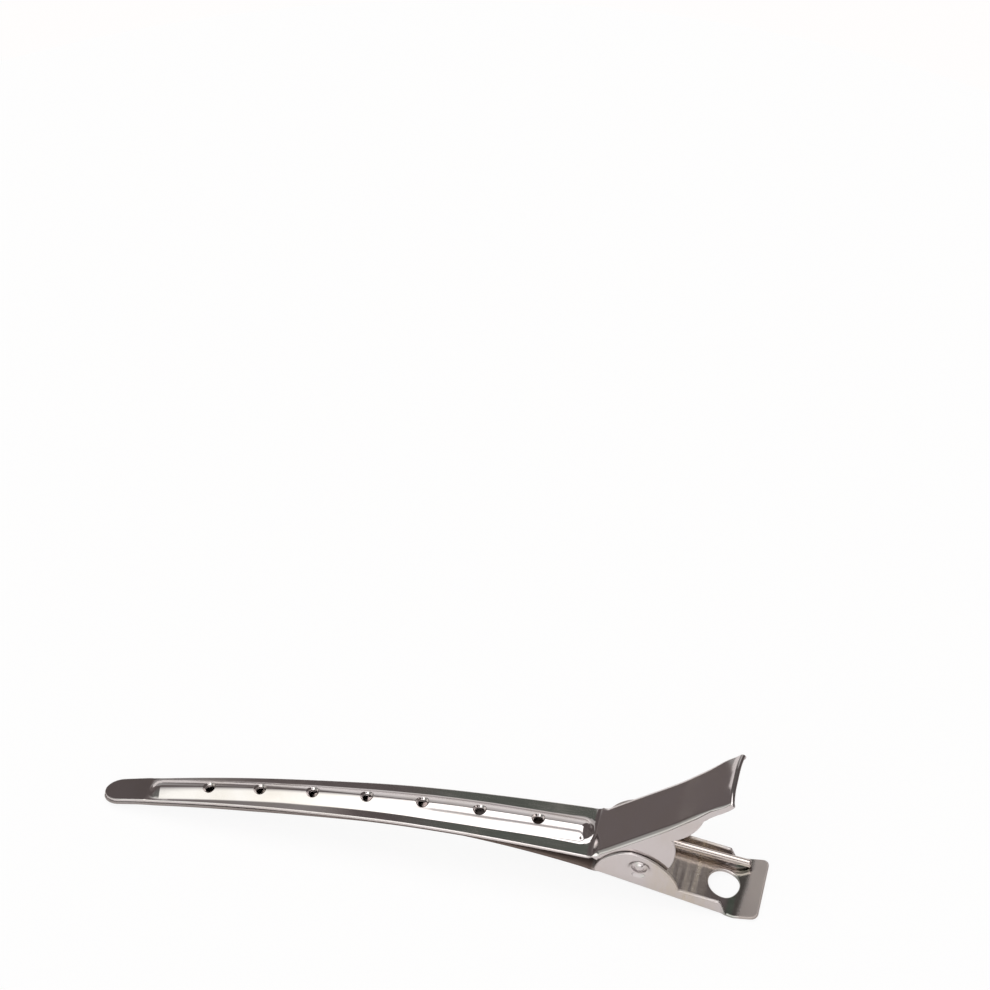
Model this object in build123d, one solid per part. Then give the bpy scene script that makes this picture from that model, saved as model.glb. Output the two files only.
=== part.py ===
from build123d import *
import math
import os

# Duckbill hair clip, lying closed on its tip and on the curled end of its lower lever.
# X runs from the tip to the levers, Y across the clip, Z up. Millimetres throughout.
# The origin is on the ground below the middle of the clip.

# Sheet and gaps
SHEET = 0.45
JAW_GAP = 0.12
EAR_GAP = 0.15
PIVOT_CLEARANCE = 0.08

# Side view of the closed jaws: one long arc from the tip to its highest point
TIP_X = -44.45
CREST_X = 6.0
CREST_Z = 7.43
JAW_RADIUS = 203.0
REAR_CREST_RADIUS = 420.0

# Upper jaw, seen from above
UPPER_TIP_HALF_WIDTH = 1.8
UPPER_HINGE_HALF_WIDTH = 4.25
TIP_ROUNDING = 1.3

# Thumb lever
BEND_X = 21.6
LEVER_ANGLE = 36.8
LEVER_LENGTH = 23.8
LEVER_HALF_WIDTH = 4.5
LEVER_RIM = 1.1
BEND_RADIUS = 1.4

# Ridge along the upper jaw: rows of place, half width and height
RIDGE_SECTIONS = (
    {"x": -38.4, "half_width": 0.7, "height": 0.10},
    {"x": -36.6, "half_width": 1.4, "height": 0.55},
    {"x": -20.0, "half_width": 1.7, "height": 0.80},
    {"x": 0.0, "half_width": 2.0, "height": 1.10},
    {"x": 19.4, "half_width": 2.15, "height": 1.22},
    {"x": 21.0, "half_width": 1.1, "height": 0.12},
)
RIDGE_ROOT = 0.3
RIDGE_SPANS = 6

# Seven small holes along the ridge, a little further apart towards the hinge
HOLE_COUNT = 7
HOLE_FIRST_X = -29.9
HOLE_PITCH = 6.95
HOLE_PITCH_GROWTH = 0.17
HOLE_RADIUS = 0.7
HOLE_RIM_RADIUS = 1.0
HOLE_RIM_DEPTH = 0.25
HOLE_REACH = 2.0

# Hinge
PIVOT_X = 28.6
PIVOT_Z = 6.77
PIP_RADIUS = 1.25
PIP_REACH = 2.9
DENT_RADIUS = 1.85
DENT_FLOOR_RADIUS = 1.5
DENT_DEPTH = 0.25
DENT_DOME_RADIUS = 1.1
DENT_DOME_RISE = 0.22
DENT_SHOULDER_RISE = 0.16

# Ears of the thumb lever, which stand inside the outer ears
EAR_TOP_X = 37.4
EAR_SCOOP_X = 35.5
EAR_SCOOP_Z = 14.8
EAR_NOTCH_X = 32.9
EAR_NOTCH_Z = 12.7
EAR_BULGE_X = 33.25
EAR_BULGE_Z = 9.85
EAR_HEEL_X = 32.4
EAR_HEEL_Z = 7.0
EAR_SOLE_X = 30.5
EAR_SOLE_Z = 5.27
EAR_FOOT_RADIUS = 2.3
EAR_FOOT_ANGLE = 250.0
EAR_FRONT_SET = 1.2
EAR_FRONT_DROP = 0.5

# Lower lever: a straight floor that falls to a curled rear end
FLOOR_ANGLE = 16.3
LOWER_CREST_RADIUS = 123.0
LOWER_CREST_END_X = 20.4
FLARE_START_X = 39.6
FLARE_RADIUS = 4.0
FLARE_ANGLE = 6.0
LOWER_END_X = 44.45
FLARE_HALF_WIDTH = 5.1
FLARE_SPREAD_LENGTH = 1.2
FLARE_CORNER = 0.8

# Lower jaw, seen from above
LOWER_TIP_HALF_WIDTH = 1.62
LOWER_MID_X = 5.0
LOWER_MID_HALF_WIDTH = 3.35
LOWER_WIDE_X = 22.0

# Outer ears and side walls of the lower lever
DOME_FRONT_X = 22.5
DOME_FRONT_SHOULDER_X = 24.2
DOME_FRONT_SHOULDER_Z = 8.15
DOME_TOP_X = 27.6
DOME_TOP_Z = 9.62
DOME_REAR_SHOULDER_X = 31.4
DOME_REAR_SHOULDER_Z = 7.85
WALL_FRONT_X = 33.9
WALL_FRONT_Z = 3.75
WALL_REAR_X = 39.4
WALL_REAR_Z = 2.5
WALL_END_X = 40.1
WALL_END_Z = 0.5

# Round hole in the lower lever
LEVER_HOLE_X = 39.1
LEVER_HOLE_RADIUS = 2.2

# Torsion spring
WIRE_RADIUS = 0.55
COIL_RADIUS = 1.95
COIL_HALF_LENGTH = 2.7
COIL_WHOLE_TURNS = 4
LOWER_LEG_ANGLE = 15.0
LOWER_LEG_END_X = 42.1
LOWER_LEG_END_Y = 3.65
UPPER_LEG_SET_BACK = 5.65
UPPER_LEG_GAP = 0.37

# Derived values
UPPER_SIDE_Y = UPPER_HINGE_HALF_WIDTH
UPPER_INNER_Y = UPPER_SIDE_Y - SHEET
LOWER_INNER_Y = UPPER_SIDE_Y + EAR_GAP
LOWER_SIDE_Y = LOWER_INNER_Y + SHEET
LOWER_DEPTH = 2 * SHEET + JAW_GAP
ARC_CENTRE_Z = CREST_Z - JAW_RADIUS
WIDE = 4 * FLARE_HALF_WIDTH
TALL = LOWER_END_X - TIP_X
SPARE = 1.0


def slope_point(x, z, angle, reach):
    turn = math.radians(angle)
    return (x + reach * math.cos(turn), z + reach * math.sin(turn))


def on_arc(x, centre_x, centre_z, radius):
    return (x, centre_z + math.sqrt(radius**2 - (x - centre_x) ** 2))


def jaw_top(x):
    if x <= CREST_X:
        return on_arc(x, CREST_X, ARC_CENTRE_Z, JAW_RADIUS)
    return on_arc(x, CREST_X, CREST_Z - REAR_CREST_RADIUS, REAR_CREST_RADIUS)


def jaw_tilt(x):
    radius = JAW_RADIUS if x <= CREST_X else REAR_CREST_RADIUS
    return math.degrees(math.asin((CREST_X - x) / radius))


def across(face, half):
    return extrude(Plane.XZ * face, amount=half, both=True)


def outline_prism(points):
    flat = make_face(Plane.XY * Polyline(*points, close=True))
    return extrude(flat, amount=TALL, both=True)


def side_plates(face, inner_y):
    near = extrude(Plane.XZ.offset(inner_y) * face, amount=SHEET)
    return near + mirror(near, about=Plane.XZ)


def bend_corner():
    return jaw_top(BEND_X)


def bend_arc():
    # Rounded bend between the jaw and the thumb lever, tangent to both
    corner = bend_corner()
    turn = math.radians(LEVER_ANGLE - jaw_tilt(BEND_X))
    reach = BEND_RADIUS * math.tan(turn / 2)
    start = jaw_top(BEND_X - reach)
    end = slope_point(*corner, LEVER_ANGLE, reach)
    rise = BEND_RADIUS / math.cos(turn / 2) - BEND_RADIUS
    upward = math.radians(90 + (LEVER_ANGLE + jaw_tilt(BEND_X)) / 2)
    middle = (corner[0] + rise * math.cos(upward), corner[1] + rise * math.sin(upward))
    return ThreePointArc(start, middle, end)


def lever_end():
    return slope_point(*bend_corner(), LEVER_ANGLE, LEVER_LENGTH)


def upper_profile():
    # Top line of the upper jaw and lever, thickened downwards by one sheet
    tip = jaw_top(TIP_X)
    middle = jaw_top((TIP_X + CREST_X) / 2)
    crest = (CREST_X, CREST_Z)
    rear_middle = jaw_top((CREST_X + BEND_X) / 2)
    bend = bend_arc()
    front = ThreePointArc(tip, middle, crest)
    back = ThreePointArc(crest, rear_middle, bend @ 0)
    lever = Line(bend @ 1, lever_end())
    path = Wire([front, back, bend, lever])
    strip = offset(path, amount=SHEET, side=Side.RIGHT, closed=True)
    return make_face(strip)


def upper_outline():
    left = [
        (TIP_X - SPARE, UPPER_TIP_HALF_WIDTH),
        (TIP_X + TIP_ROUNDING * UPPER_TIP_HALF_WIDTH, UPPER_TIP_HALF_WIDTH),
        *lever_outline(0.0)[:2],
    ]
    right = [(x, -y) for x, y in reversed(left)]
    return left + right


def tip_corners(half_width):
    # What the rounded end of a jaw lacks beside a square one, seen from above
    length = TIP_ROUNDING * half_width
    square = Pos(TIP_X + (length - SPARE) / 2, 0) * Rectangle(length + SPARE, WIDE)
    rounded = Pos(TIP_X + length, 0) * Ellipse(length, half_width)
    return extrude(square - rounded, amount=TALL, both=True)


def ridge_row(x):
    # Half width and height of the ridge at one place, between two rows of the table
    for near, far in zip(RIDGE_SECTIONS, RIDGE_SECTIONS[1:]):
        if near["x"] <= x <= far["x"]:
            share = (x - near["x"]) / (far["x"] - near["x"])
            half_width = near["half_width"] + share * (far["half_width"] - near["half_width"])
            height = near["height"] + share * (far["height"] - near["height"])
            return {"x": x, "half_width": half_width, "height": height}
    raise ValueError("the ridge does not reach this place")


def ridge_section(row, inset):
    height = row["height"] - inset
    half = row["half_width"] - inset
    plane = Plane(
        origin=(row["x"], 0, jaw_top(row["x"])[1]),
        x_dir=(0, 1, 0),
        z_dir=Vector(1, 0, 0).rotate(Axis.Y, -jaw_tilt(row["x"])),
    )
    top = ThreePointArc((-half, 0), (0, height), (half, 0))
    root = -RIDGE_ROOT - 2 * inset
    skirt = Polyline((half, 0), (half, root), (-half, root), (-half, 0))
    return plane * make_face(Wire([top, *skirt.edges()]))


def ridge(inset):
    # Rounded ridge on top of the jaw; with an inset it is the hollow below the ridge
    first = RIDGE_SECTIONS[1]["x"]
    last = RIDGE_SECTIONS[-2]["x"]
    step = (last - first) / RIDGE_SPANS
    places = [first + step * index for index in range(RIDGE_SPANS + 1)]
    sections = [ridge_section(ridge_row(x), inset) for x in places]
    body = loft(sections)
    if inset > 0:
        return body
    front_end = loft([ridge_section(RIDGE_SECTIONS[0], inset), sections[0]])
    rear_end = loft([sections[-1], ridge_section(RIDGE_SECTIONS[-1], inset)])
    return body + front_end + rear_end


def hole_places():
    for index in range(HOLE_COUNT):
        growth = HOLE_PITCH_GROWTH * index * (index - 1) / 2
        yield HOLE_FIRST_X + HOLE_PITCH * index + growth


def small_hole(x):
    # Straight hole with a dished rim, square to the jaw
    surface = jaw_top(x)[1] + ridge_row(x)["height"]
    seat = Location((x, 0, surface), (0, -jaw_tilt(x), 0))
    bore = Cylinder(HOLE_RADIUS, 2 * HOLE_REACH)
    rim = Pos(0, 0, -HOLE_RIM_DEPTH / 2) * Cone(HOLE_RADIUS, HOLE_RIM_RADIUS, HOLE_RIM_DEPTH)
    clear = Pos(0, 0, HOLE_REACH / 2) * Cylinder(HOLE_RIM_RADIUS, HOLE_REACH)
    return seat * (bore + rim + clear)


def lever_block(depth, end_inset):
    # Slab below the top line of the lever, right across and up to an inset from its end
    start = bend_corner()
    end = slope_point(*start, LEVER_ANGLE, LEVER_LENGTH - end_inset)
    slab = offset(Wire([Line(start, end)]), amount=depth, side=Side.RIGHT, closed=True)
    return across(make_face(slab), WIDE)


def lever_outline(inset):
    end_x = lever_end()[0] + WIDE
    spread = (LEVER_HALF_WIDTH - UPPER_HINGE_HALF_WIDTH) / (lever_end()[0] - BEND_X)
    end_y = UPPER_HINGE_HALF_WIDTH + spread * (end_x - BEND_X) - inset
    front_y = UPPER_HINGE_HALF_WIDTH - inset
    return [(BEND_X, front_y), (end_x, end_y), (end_x, -end_y), (BEND_X, -front_y)]


def lever_rim():
    # Turned-down edge along both sides and the rear of the thumb lever
    outer = lever_block(LEVER_RIM, 0.0) & outline_prism(lever_outline(0.0))
    inner = lever_block(2 * LEVER_RIM, SHEET) & outline_prism(lever_outline(SHEET))
    return outer - inner


def ear_face():
    # Side view of one inner ear, from the lever down around the pivot
    corner = bend_corner()
    lever_reach = (EAR_TOP_X - BEND_X) / math.cos(math.radians(LEVER_ANGLE))
    top = slope_point(*corner, LEVER_ANGLE, lever_reach)
    front = (corner[0] + EAR_FRONT_SET, corner[1] - EAR_FRONT_DROP)
    foot = slope_point(PIVOT_X, PIVOT_Z, EAR_FOOT_ANGLE, EAR_FOOT_RADIUS)
    heel = (EAR_HEEL_X, EAR_HEEL_Z)
    notch = (EAR_NOTCH_X, EAR_NOTCH_Z)
    return make_face(
        Wire(
            [
                Line(corner, top),
                ThreePointArc(top, (EAR_SCOOP_X, EAR_SCOOP_Z), notch),
                ThreePointArc(notch, (EAR_BULGE_X, EAR_BULGE_Z), heel),
                ThreePointArc(heel, (EAR_SOLE_X, EAR_SOLE_Z), foot),
                Line(foot, front),
                Line(front, corner),
            ]
        )
    )


def pivot_disc(radius, inner_y, outer_y):
    # Round bar across both sides, between two distances from the middle
    bar = Cylinder(radius, outer_y - inner_y, rotation=(90, 0, 0))
    reach = (inner_y + outer_y) / 2
    near = Pos(PIVOT_X, -reach, PIVOT_Z) * bar
    return near + mirror(near, about=Plane.XZ)


def upper_jaw():
    blade = across(upper_profile(), WIDE) & outline_prism(upper_outline())
    blade = blade - tip_corners(UPPER_TIP_HALF_WIDTH)
    body = blade + ridge(0) + lever_rim() + side_plates(ear_face(), UPPER_INNER_Y)
    body = body - ridge(SHEET)
    for x in hole_places():
        body = body - small_hole(x)
    return body - pivot_disc(PIP_RADIUS + PIVOT_CLEARANCE, 0.0, UPPER_SIDE_Y + SPARE)


def floor_line_z(x):
    return flare_start()[1] + (FLARE_START_X - x) * math.tan(math.radians(FLOOR_ANGLE))


def flare_start():
    turn = math.radians(FLOOR_ANGLE)
    return (FLARE_START_X, FLARE_RADIUS * (1 - math.cos(turn)))


def lower_profile():
    # Underside of the lower jaw and lever, thickened upwards by one sheet
    radius = JAW_RADIUS - LOWER_DEPTH
    tip = on_arc(TIP_X, CREST_X, ARC_CENTRE_Z, radius)
    middle = on_arc((TIP_X + CREST_X) / 2, CREST_X, ARC_CENTRE_Z, radius)
    crest = (CREST_X, CREST_Z - LOWER_DEPTH)
    rear_centre = crest[1] - LOWER_CREST_RADIUS
    rear_middle = on_arc((CREST_X + LOWER_CREST_END_X) / 2, CREST_X, rear_centre, LOWER_CREST_RADIUS)
    rear_end = on_arc(LOWER_CREST_END_X, CREST_X, rear_centre, LOWER_CREST_RADIUS)
    knee = (LOWER_WIDE_X, floor_line_z(LOWER_WIDE_X))
    start = flare_start()
    centre = (start[0] + FLARE_RADIUS * math.sin(math.radians(FLOOR_ANGLE)), FLARE_RADIUS)
    lowest = (centre[0], 0.0)
    rise = math.radians(FLARE_ANGLE)
    flare_end = (
        centre[0] + FLARE_RADIUS * math.sin(rise),
        centre[1] - FLARE_RADIUS * math.cos(rise),
    )
    rear = (LOWER_END_X, flare_end[1] + (LOWER_END_X - flare_end[0]) * math.tan(rise))
    path = Wire(
        [
            ThreePointArc(tip, middle, crest),
            ThreePointArc(crest, rear_middle, rear_end),
            Line(rear_end, knee),
            Line(knee, start),
            ThreePointArc(start, lowest, flare_end),
            Line(flare_end, rear),
        ]
    )
    return make_face(offset(path, amount=SHEET, side=Side.LEFT, closed=True))


def lower_outline():
    left = [
        (TIP_X - SPARE, LOWER_TIP_HALF_WIDTH),
        (TIP_X + TIP_ROUNDING * LOWER_TIP_HALF_WIDTH, LOWER_TIP_HALF_WIDTH),
        (LOWER_MID_X, LOWER_MID_HALF_WIDTH),
        (LOWER_WIDE_X, LOWER_SIDE_Y),
        (WALL_END_X, LOWER_SIDE_Y),
        (WALL_END_X + FLARE_SPREAD_LENGTH, FLARE_HALF_WIDTH),
        (LOWER_END_X - FLARE_CORNER, FLARE_HALF_WIDTH),
        (LOWER_END_X, FLARE_HALF_WIDTH - FLARE_CORNER),
        (LOWER_END_X + SPARE, FLARE_HALF_WIDTH - FLARE_CORNER),
    ]
    right = [(x, -y) for x, y in reversed(left)]
    return left + right


def dome_face():
    # Side view of one outer ear with the low wall behind it
    front = (DOME_FRONT_X, floor_line_z(DOME_FRONT_X))
    return make_face(
        Wire(
            [
                ThreePointArc(
                    front,
                    (DOME_FRONT_SHOULDER_X, DOME_FRONT_SHOULDER_Z),
                    (DOME_TOP_X, DOME_TOP_Z),
                ),
                ThreePointArc(
                    (DOME_TOP_X, DOME_TOP_Z),
                    (DOME_REAR_SHOULDER_X, DOME_REAR_SHOULDER_Z),
                    (WALL_FRONT_X, WALL_FRONT_Z),
                ),
                Line((WALL_FRONT_X, WALL_FRONT_Z), (WALL_REAR_X, WALL_REAR_Z)),
                Line((WALL_REAR_X, WALL_REAR_Z), (WALL_END_X, WALL_END_Z)),
                Line((WALL_END_X, WALL_END_Z), flare_start()),
                Line(flare_start(), front),
            ]
        )
    )


def dent():
    # Ring-shaped dent with a domed middle, revolved about the hinge axis
    floor_y = LOWER_SIDE_Y - DENT_DEPTH
    outer_y = LOWER_SIDE_Y + SPARE
    crown = (0, floor_y + DENT_DOME_RISE)
    shoulder = (DENT_DOME_RADIUS / 2, floor_y + DENT_SHOULDER_RISE)
    foot = (DENT_DOME_RADIUS, floor_y)
    rim = (DENT_RADIUS, LOWER_SIDE_Y)
    groove = Polyline(foot, (DENT_FLOOR_RADIUS, floor_y), rim, (DENT_RADIUS, outer_y), (0, outer_y), crown)
    profile = Wire([ThreePointArc(crown, shoulder, foot), *groove.edges()])
    ring = revolve(make_face(profile), Axis.Y)
    far = Pos(PIVOT_X, 0, PIVOT_Z) * ring
    return far + mirror(far, about=Plane.XZ)


def lower_jaw():
    blade = across(lower_profile(), WIDE) & outline_prism(lower_outline())
    blade = blade - tip_corners(LOWER_TIP_HALF_WIDTH)
    body = blade + side_plates(dome_face(), LOWER_INNER_Y)
    body = body + pivot_disc(PIP_RADIUS, PIP_REACH, LOWER_INNER_Y + SHEET / 2)
    hole = Location((LEVER_HOLE_X, 0, floor_line_z(LEVER_HOLE_X)), (0, FLOOR_ANGLE, 0))
    return body - dent() - hole * Cylinder(LEVER_HOLE_RADIUS, 2 * HOLE_REACH)


def wire_bar(start, end):
    span = Vector(*end) - Vector(*start)
    return Solid.make_cylinder(WIRE_RADIUS, span.length, Plane(origin=start, z_dir=span))


def coil_point(angle, y):
    turn = math.radians(angle)
    return (
        PIVOT_X + COIL_RADIUS * math.cos(turn),
        y,
        PIVOT_Z + COIL_RADIUS * math.sin(turn),
    )


def upper_leg_end():
    # Just below the thumb lever, short of its rear end
    seat = slope_point(*bend_corner(), LEVER_ANGLE, LEVER_LENGTH - UPPER_LEG_SET_BACK)
    depth = SHEET + UPPER_LEG_GAP + WIRE_RADIUS
    return slope_point(*seat, LEVER_ANGLE - 90.0, depth)


def upper_leg_angle():
    # Slope of the line that touches the coil and runs to the leg's end
    end = upper_leg_end()
    run = end[0] - PIVOT_X
    rise = end[1] - PIVOT_Z
    return math.degrees(math.atan2(rise, run) - math.asin(COIL_RADIUS / math.hypot(run, rise)))


def spring():
    # The wire leaves the coil below for the lower lever and above for the thumb lever
    lower_start_angle = -90.0 - LOWER_LEG_ANGLE
    upper_start_angle = 90.0 + upper_leg_angle()
    sweep_angle = 360.0 * COIL_WHOLE_TURNS + 360.0 - (upper_start_angle - lower_start_angle)
    pitch = 2 * COIL_HALF_LENGTH * 360.0 / sweep_angle
    helix = Helix(pitch=pitch, height=2 * COIL_HALF_LENGTH, radius=COIL_RADIUS)
    start = helix @ 0
    ring = Plane(origin=start, z_dir=helix % 0) * Circle(WIRE_RADIUS)
    coil = sweep(ring, path=helix, is_frenet=True)
    coil = Rot(0, -lower_start_angle, 0) * (Rot(90, 0, 0) * coil)
    coil = Pos(PIVOT_X, COIL_HALF_LENGTH, PIVOT_Z) * coil
    low_start = coil_point(lower_start_angle, COIL_HALF_LENGTH)
    low_drop = (LOWER_LEG_END_X - low_start[0]) * math.tan(math.radians(LOWER_LEG_ANGLE))
    low_end = (LOWER_LEG_END_X, LOWER_LEG_END_Y, low_start[2] - low_drop)
    high_start = coil_point(upper_start_angle, -COIL_HALF_LENGTH)
    reach = upper_leg_end()
    high_end = (reach[0], -COIL_HALF_LENGTH, reach[1])
    body = coil + wire_bar(low_start, low_end) + wire_bar(high_start, high_end)
    body = body + Pos(*low_start) * Sphere(WIRE_RADIUS)
    return body + Pos(*high_start) * Sphere(WIRE_RADIUS)


os.makedirs("parts", exist_ok=True)
export_step(upper_jaw(), "parts/upper_jaw.step")
export_step(lower_jaw(), "parts/lower_jaw.step")
export_step(spring(), "parts/spring.step")
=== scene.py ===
import math
from collections import namedtuple

import bpy
import bmesh
import numpy as np
from mathutils import Euler, Matrix, Vector, geometry, kdtree


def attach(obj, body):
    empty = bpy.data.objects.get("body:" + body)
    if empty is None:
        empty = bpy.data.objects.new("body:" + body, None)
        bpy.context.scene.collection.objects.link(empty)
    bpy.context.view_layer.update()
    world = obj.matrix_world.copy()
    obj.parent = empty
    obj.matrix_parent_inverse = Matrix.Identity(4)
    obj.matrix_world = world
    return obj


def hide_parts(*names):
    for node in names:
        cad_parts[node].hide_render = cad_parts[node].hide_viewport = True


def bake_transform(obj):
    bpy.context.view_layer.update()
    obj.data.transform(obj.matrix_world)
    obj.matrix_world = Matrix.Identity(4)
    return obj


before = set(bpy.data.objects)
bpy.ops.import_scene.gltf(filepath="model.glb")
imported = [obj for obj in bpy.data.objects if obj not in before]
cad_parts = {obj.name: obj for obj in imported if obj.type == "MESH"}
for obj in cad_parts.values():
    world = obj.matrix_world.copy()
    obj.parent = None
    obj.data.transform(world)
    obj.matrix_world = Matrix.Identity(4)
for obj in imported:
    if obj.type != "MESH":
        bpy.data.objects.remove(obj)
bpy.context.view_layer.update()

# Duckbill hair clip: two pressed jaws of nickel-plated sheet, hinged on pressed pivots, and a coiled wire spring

bl_info = {
    "name": "Duckbill Hair Clip",
    "version": (1, 0, 0),
    "blender": (4, 5, 0),
    "location": "3D View > Sidebar > Hair Clip",
    "description": "Builds a sprung duckbill hair clip over its solid model",
    "category": "Object",
}

# Sizes of the clip in millimetres: those of the part's source, apart from the jaws' front widths, the ridge and the
# thumb lever's bow and end, which follow the photo more closely here
MM = 0.001
SHEET = 0.45
TIP_X = -44.45
CREST_X, CREST_Z = 6.0, 7.43
JAW_RADIUS, REAR_CREST_RADIUS = 203.0, 420.0
UPPER_TIP_HALF_WIDTH, UPPER_HINGE_HALF_WIDTH = 1.9, 4.25
TIP_ROUNDING = 1.3
BEND_X = 21.6
FOLD_X, FOLD_RADIUS = 21.9, 1.4
LEVER_ANGLE, LEVER_LENGTH, LEVER_RIM = 36.8, 23.8, 1.1
# Seen from the side the thumb lever is slightly bowed: runs of length and turn in degrees, from the bend to the end
LEVER_START_ANGLE = 37.4
LEVER_RUNS = ((12.0, 0.0), (3.0, 4.6), (6.9, 0.0), (1.8, 7.0))
LEVER_HALF_WIDTH, LEVER_END_HALF_WIDTH = 4.33, 4.5
LEVER_END_BEND, LEVER_END_DEPTH, LEVER_CORNER_BEND = 0.34, 0.66, 0.4
HOLE_COUNT, HOLE_FIRST_X, HOLE_PITCH, HOLE_PITCH_GROWTH = 7, -29.9, 6.95, 0.17
PIVOT_X, PIVOT_Z = 28.6, 6.77
PIP_RADIUS, PIP_REACH, PIP_ROUNDING, PIVOT_CLEARANCE = 1.25, 2.9, 0.25, 0.08
PIP_ROOT, PIP_HOLLOW_RADIUS, PIP_HOLLOW_DEPTH = 0.1, 0.4, 0.05
# An ear's side view, and the arcs through its points with the number of runs each is cut into; the top's height is
# only near, as it is found on the lever
EAR_POINTS = {
    "top": (37.4, 19.0),
    "scoop": (35.5, 14.8),
    "notch": (32.9, 12.7),
    "bulge": (33.25, 9.85),
    "heel": (32.4, 7.0),
    "sole": (30.5, 5.27),
    "foot": (27.813, 4.609),
    "front": (22.8, 6.64),
}
EAR_ARCS = (("foot", "sole", "heel", 14), ("heel", "bulge", "notch", 14), ("notch", "scoop", "top", 24))
# Along the lever and down from its top: where the ear's edge leaves the bend
EAR_START, EAR_MARGIN = (0.12, 0.02), 0.05
# Along the lever's plain rim: from the ear to the first point, from point to point, and from the last to the end
RIM_FIRST, RIM_STEP, RIM_LAST = 0.5, 0.7, 1.6
FLOOR_ANGLE, LOWER_CREST_RADIUS, LOWER_CREST_END_X = 16.3, 123.0, 20.4
FLARE_START_X, FLARE_RADIUS, FLARE_ANGLE, LOWER_END_X = 39.6, 4.0, 6.0, 44.45
FLARE_FULL_X, FLARE_STRAIGHT_X, FLARE_CORNER_RADIUS = 41.3, 43.3, 0.9
LOWER_TIP_HALF_WIDTH, LOWER_SIDE, FLARE_HALF_WIDTH = 1.85, 4.85, 5.1
LOWER_WIDTHS = ((-24.0, 2.62), (-8.0, 2.92), (5.0, 3.35), (22.0, LOWER_SIDE))
JAW_GAP = 0.12
DOME_POINTS = {
    "front": (22.5, 5.161),
    "front_shoulder": (24.2, 8.15),
    "top": (27.6, 9.62),
    "rear_shoulder": (31.4, 7.85),
    "wall_front": (33.9, 3.75),
    "wall_rear": (39.4, 2.5),
    "wall_end": (40.1, 0.5),
}
DOME_ARCS = (("front", "front_shoulder", "top", 16), ("top", "rear_shoulder", "wall_front", 18))
WALL_LOWEST, WALL_END_GAP, WALL_BEND_END, WALL_BEND_FADES = 0.03, 0.75, 0.9, 1.1
LEVER_HOLE_X, LEVER_HOLE_RADIUS = 39.1, 2.2
COIL_RADIUS, COIL_HALF_LENGTH, COIL_WHOLE_TURNS = 1.95, 2.7, 4
LOWER_LEG_ANGLE, LOWER_LEG_END_X, LOWER_LEG_END_Y = 15.0, 42.1, 3.65
UPPER_LEG_SET_BACK, UPPER_LEG_GAP = 5.65, 0.37
WIRE_END_ROUNDING = 0.1
# The rounding's outline, in shares of its radius: along the wire from its end, in from its skin
WIRE_END = ((0.0, 1.0), (0.3, 0.45), (0.75, 0.1), (1.0, 0.0))

# Changes along the clip: the place where each starts, and the length that it takes
LEAN_STARTS, LEAN_ENDS, LEAN_FROM_MIDDLE = (-39.5, 3.0), (-18.0, 16.0), 0.97
FRONT_SWELL, SWELL_LENGTH, SWELL_ENDS = 0.24, 12.0, (-13.0, 17.0)
FOOT_WIDENS, FOOT_WIDER_BY = (15.0, 5.0), 1.3
# The ridge's half width and height at places along the clip, and how far its two ends take to close
RIDGE_HALF_WIDTHS = ((-38.4, 1.3), (-36.6, 1.52), (-20.0, 1.52), (-10.0, 1.68), (0.0, 2.0), (8.0, 2.1), (19.4, 2.06))
RIDGE_HEIGHTS = ((-38.4, 0.34), (-36.6, 0.55), (-20.0, 0.80), (0.0, 1.02), (19.4, 1.1))
RIDGE_FRONT_END, RIDGE_REAR_END = (-37.2, 1.35), (20.0, 1.84)
RIDGE_RISES, RIDGE_FALLS, RIDGE_FALL_ROUNDING = (-38.55, 1.5), (21.84, 1.55), 0.3
RIDGE_ARCH, RIDGE_CREST_ROUNDING = 1.7, 0.04
# Dips of the plate, from the bend or from the lever's end: start and length along it, and width from the side
BEND_DIP_STARTS, BEND_DIP_ENDS, BEND_DIP_WIDTH = (-1.3, 1.5), (0.5, 1.6), 1.5
CORNER_DIP_STARTS, CORNER_DIP_WIDTH = (-3.4, 3.2), 3.3
# The ring pressed round each pivot, and the dome in its middle
DENT_RADIUS, DENT_SLOPE, DENT_REACH = 1.85, 0.85, 2.05
DENT_DOME_HEIGHT, DENT_DOME_RADIUS = 0.34, 0.68
# A hole's collar: under the sheet, its outline (out from the hole's edge, down); above, its dish (share of width, down)
COLLAR_SKIRT = ((0.06, 0.2), (-0.07, 0.22), (-0.1, 0.16))
COLLAR_WALL = ((-0.08, 0.4), (-0.05, 0.33))
COLLAR_DISH = ((0.1, 0.27), (0.3, 0.2), (0.5, 0.135), (0.7, 0.07), (0.82, 0.034), (0.92, 0.01), (1.0, 0.0))

# In metres: what counts as one point, and how far a collar's rim may lie from its hole's
WELD, RIM_REACH = 1e-7, 1e-4

# How finely the blanks are cut up
NO_BEND = 1e-4
EDGE_SPACING, EDGE_SHORTEST, EDGE_CLEARANCE, HOLE_CLEARANCE = 0.3, 0.04, 0.13, 0.06
HOLE_SIDES, COLLAR_SIDES = 56, 40
# Faces whose centre lies nearer to a hole's centre than this share of its radius are left out
HOLE_FACES_FROM = 0.9975
RIDGE_SHARES = (0, 0.03, 0.08, *(0.17 + 0.09 * k for k in range(7)), 0.79, 0.86, 0.92, 0.97, 1.0, 1.03, 1.07, 1.12, 1.2)
FLANGE_SHARES = (0.2, 0.45, 0.7, 0.9)
FLOOR_SHARES = (0, 0.15, 0.3, 0.45, 0.6, 0.75, 0.88, 0.96)
WALL_DEPTHS = (0.25, 0.5, 0.8, 1.2, 1.8, 2.5, 3.3, 4.1, 4.9, 5.7)
LEG_POINTS, COIL_POINTS, SOFT_CORNER_POINTS, SOFT_CORNER_ROUNDS = 30, 260, 6, 6

# In metres: a round table that ends just outside the picture
FLOOR_RADIUS, FLOOR_SIDES = 0.17, 96
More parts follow.
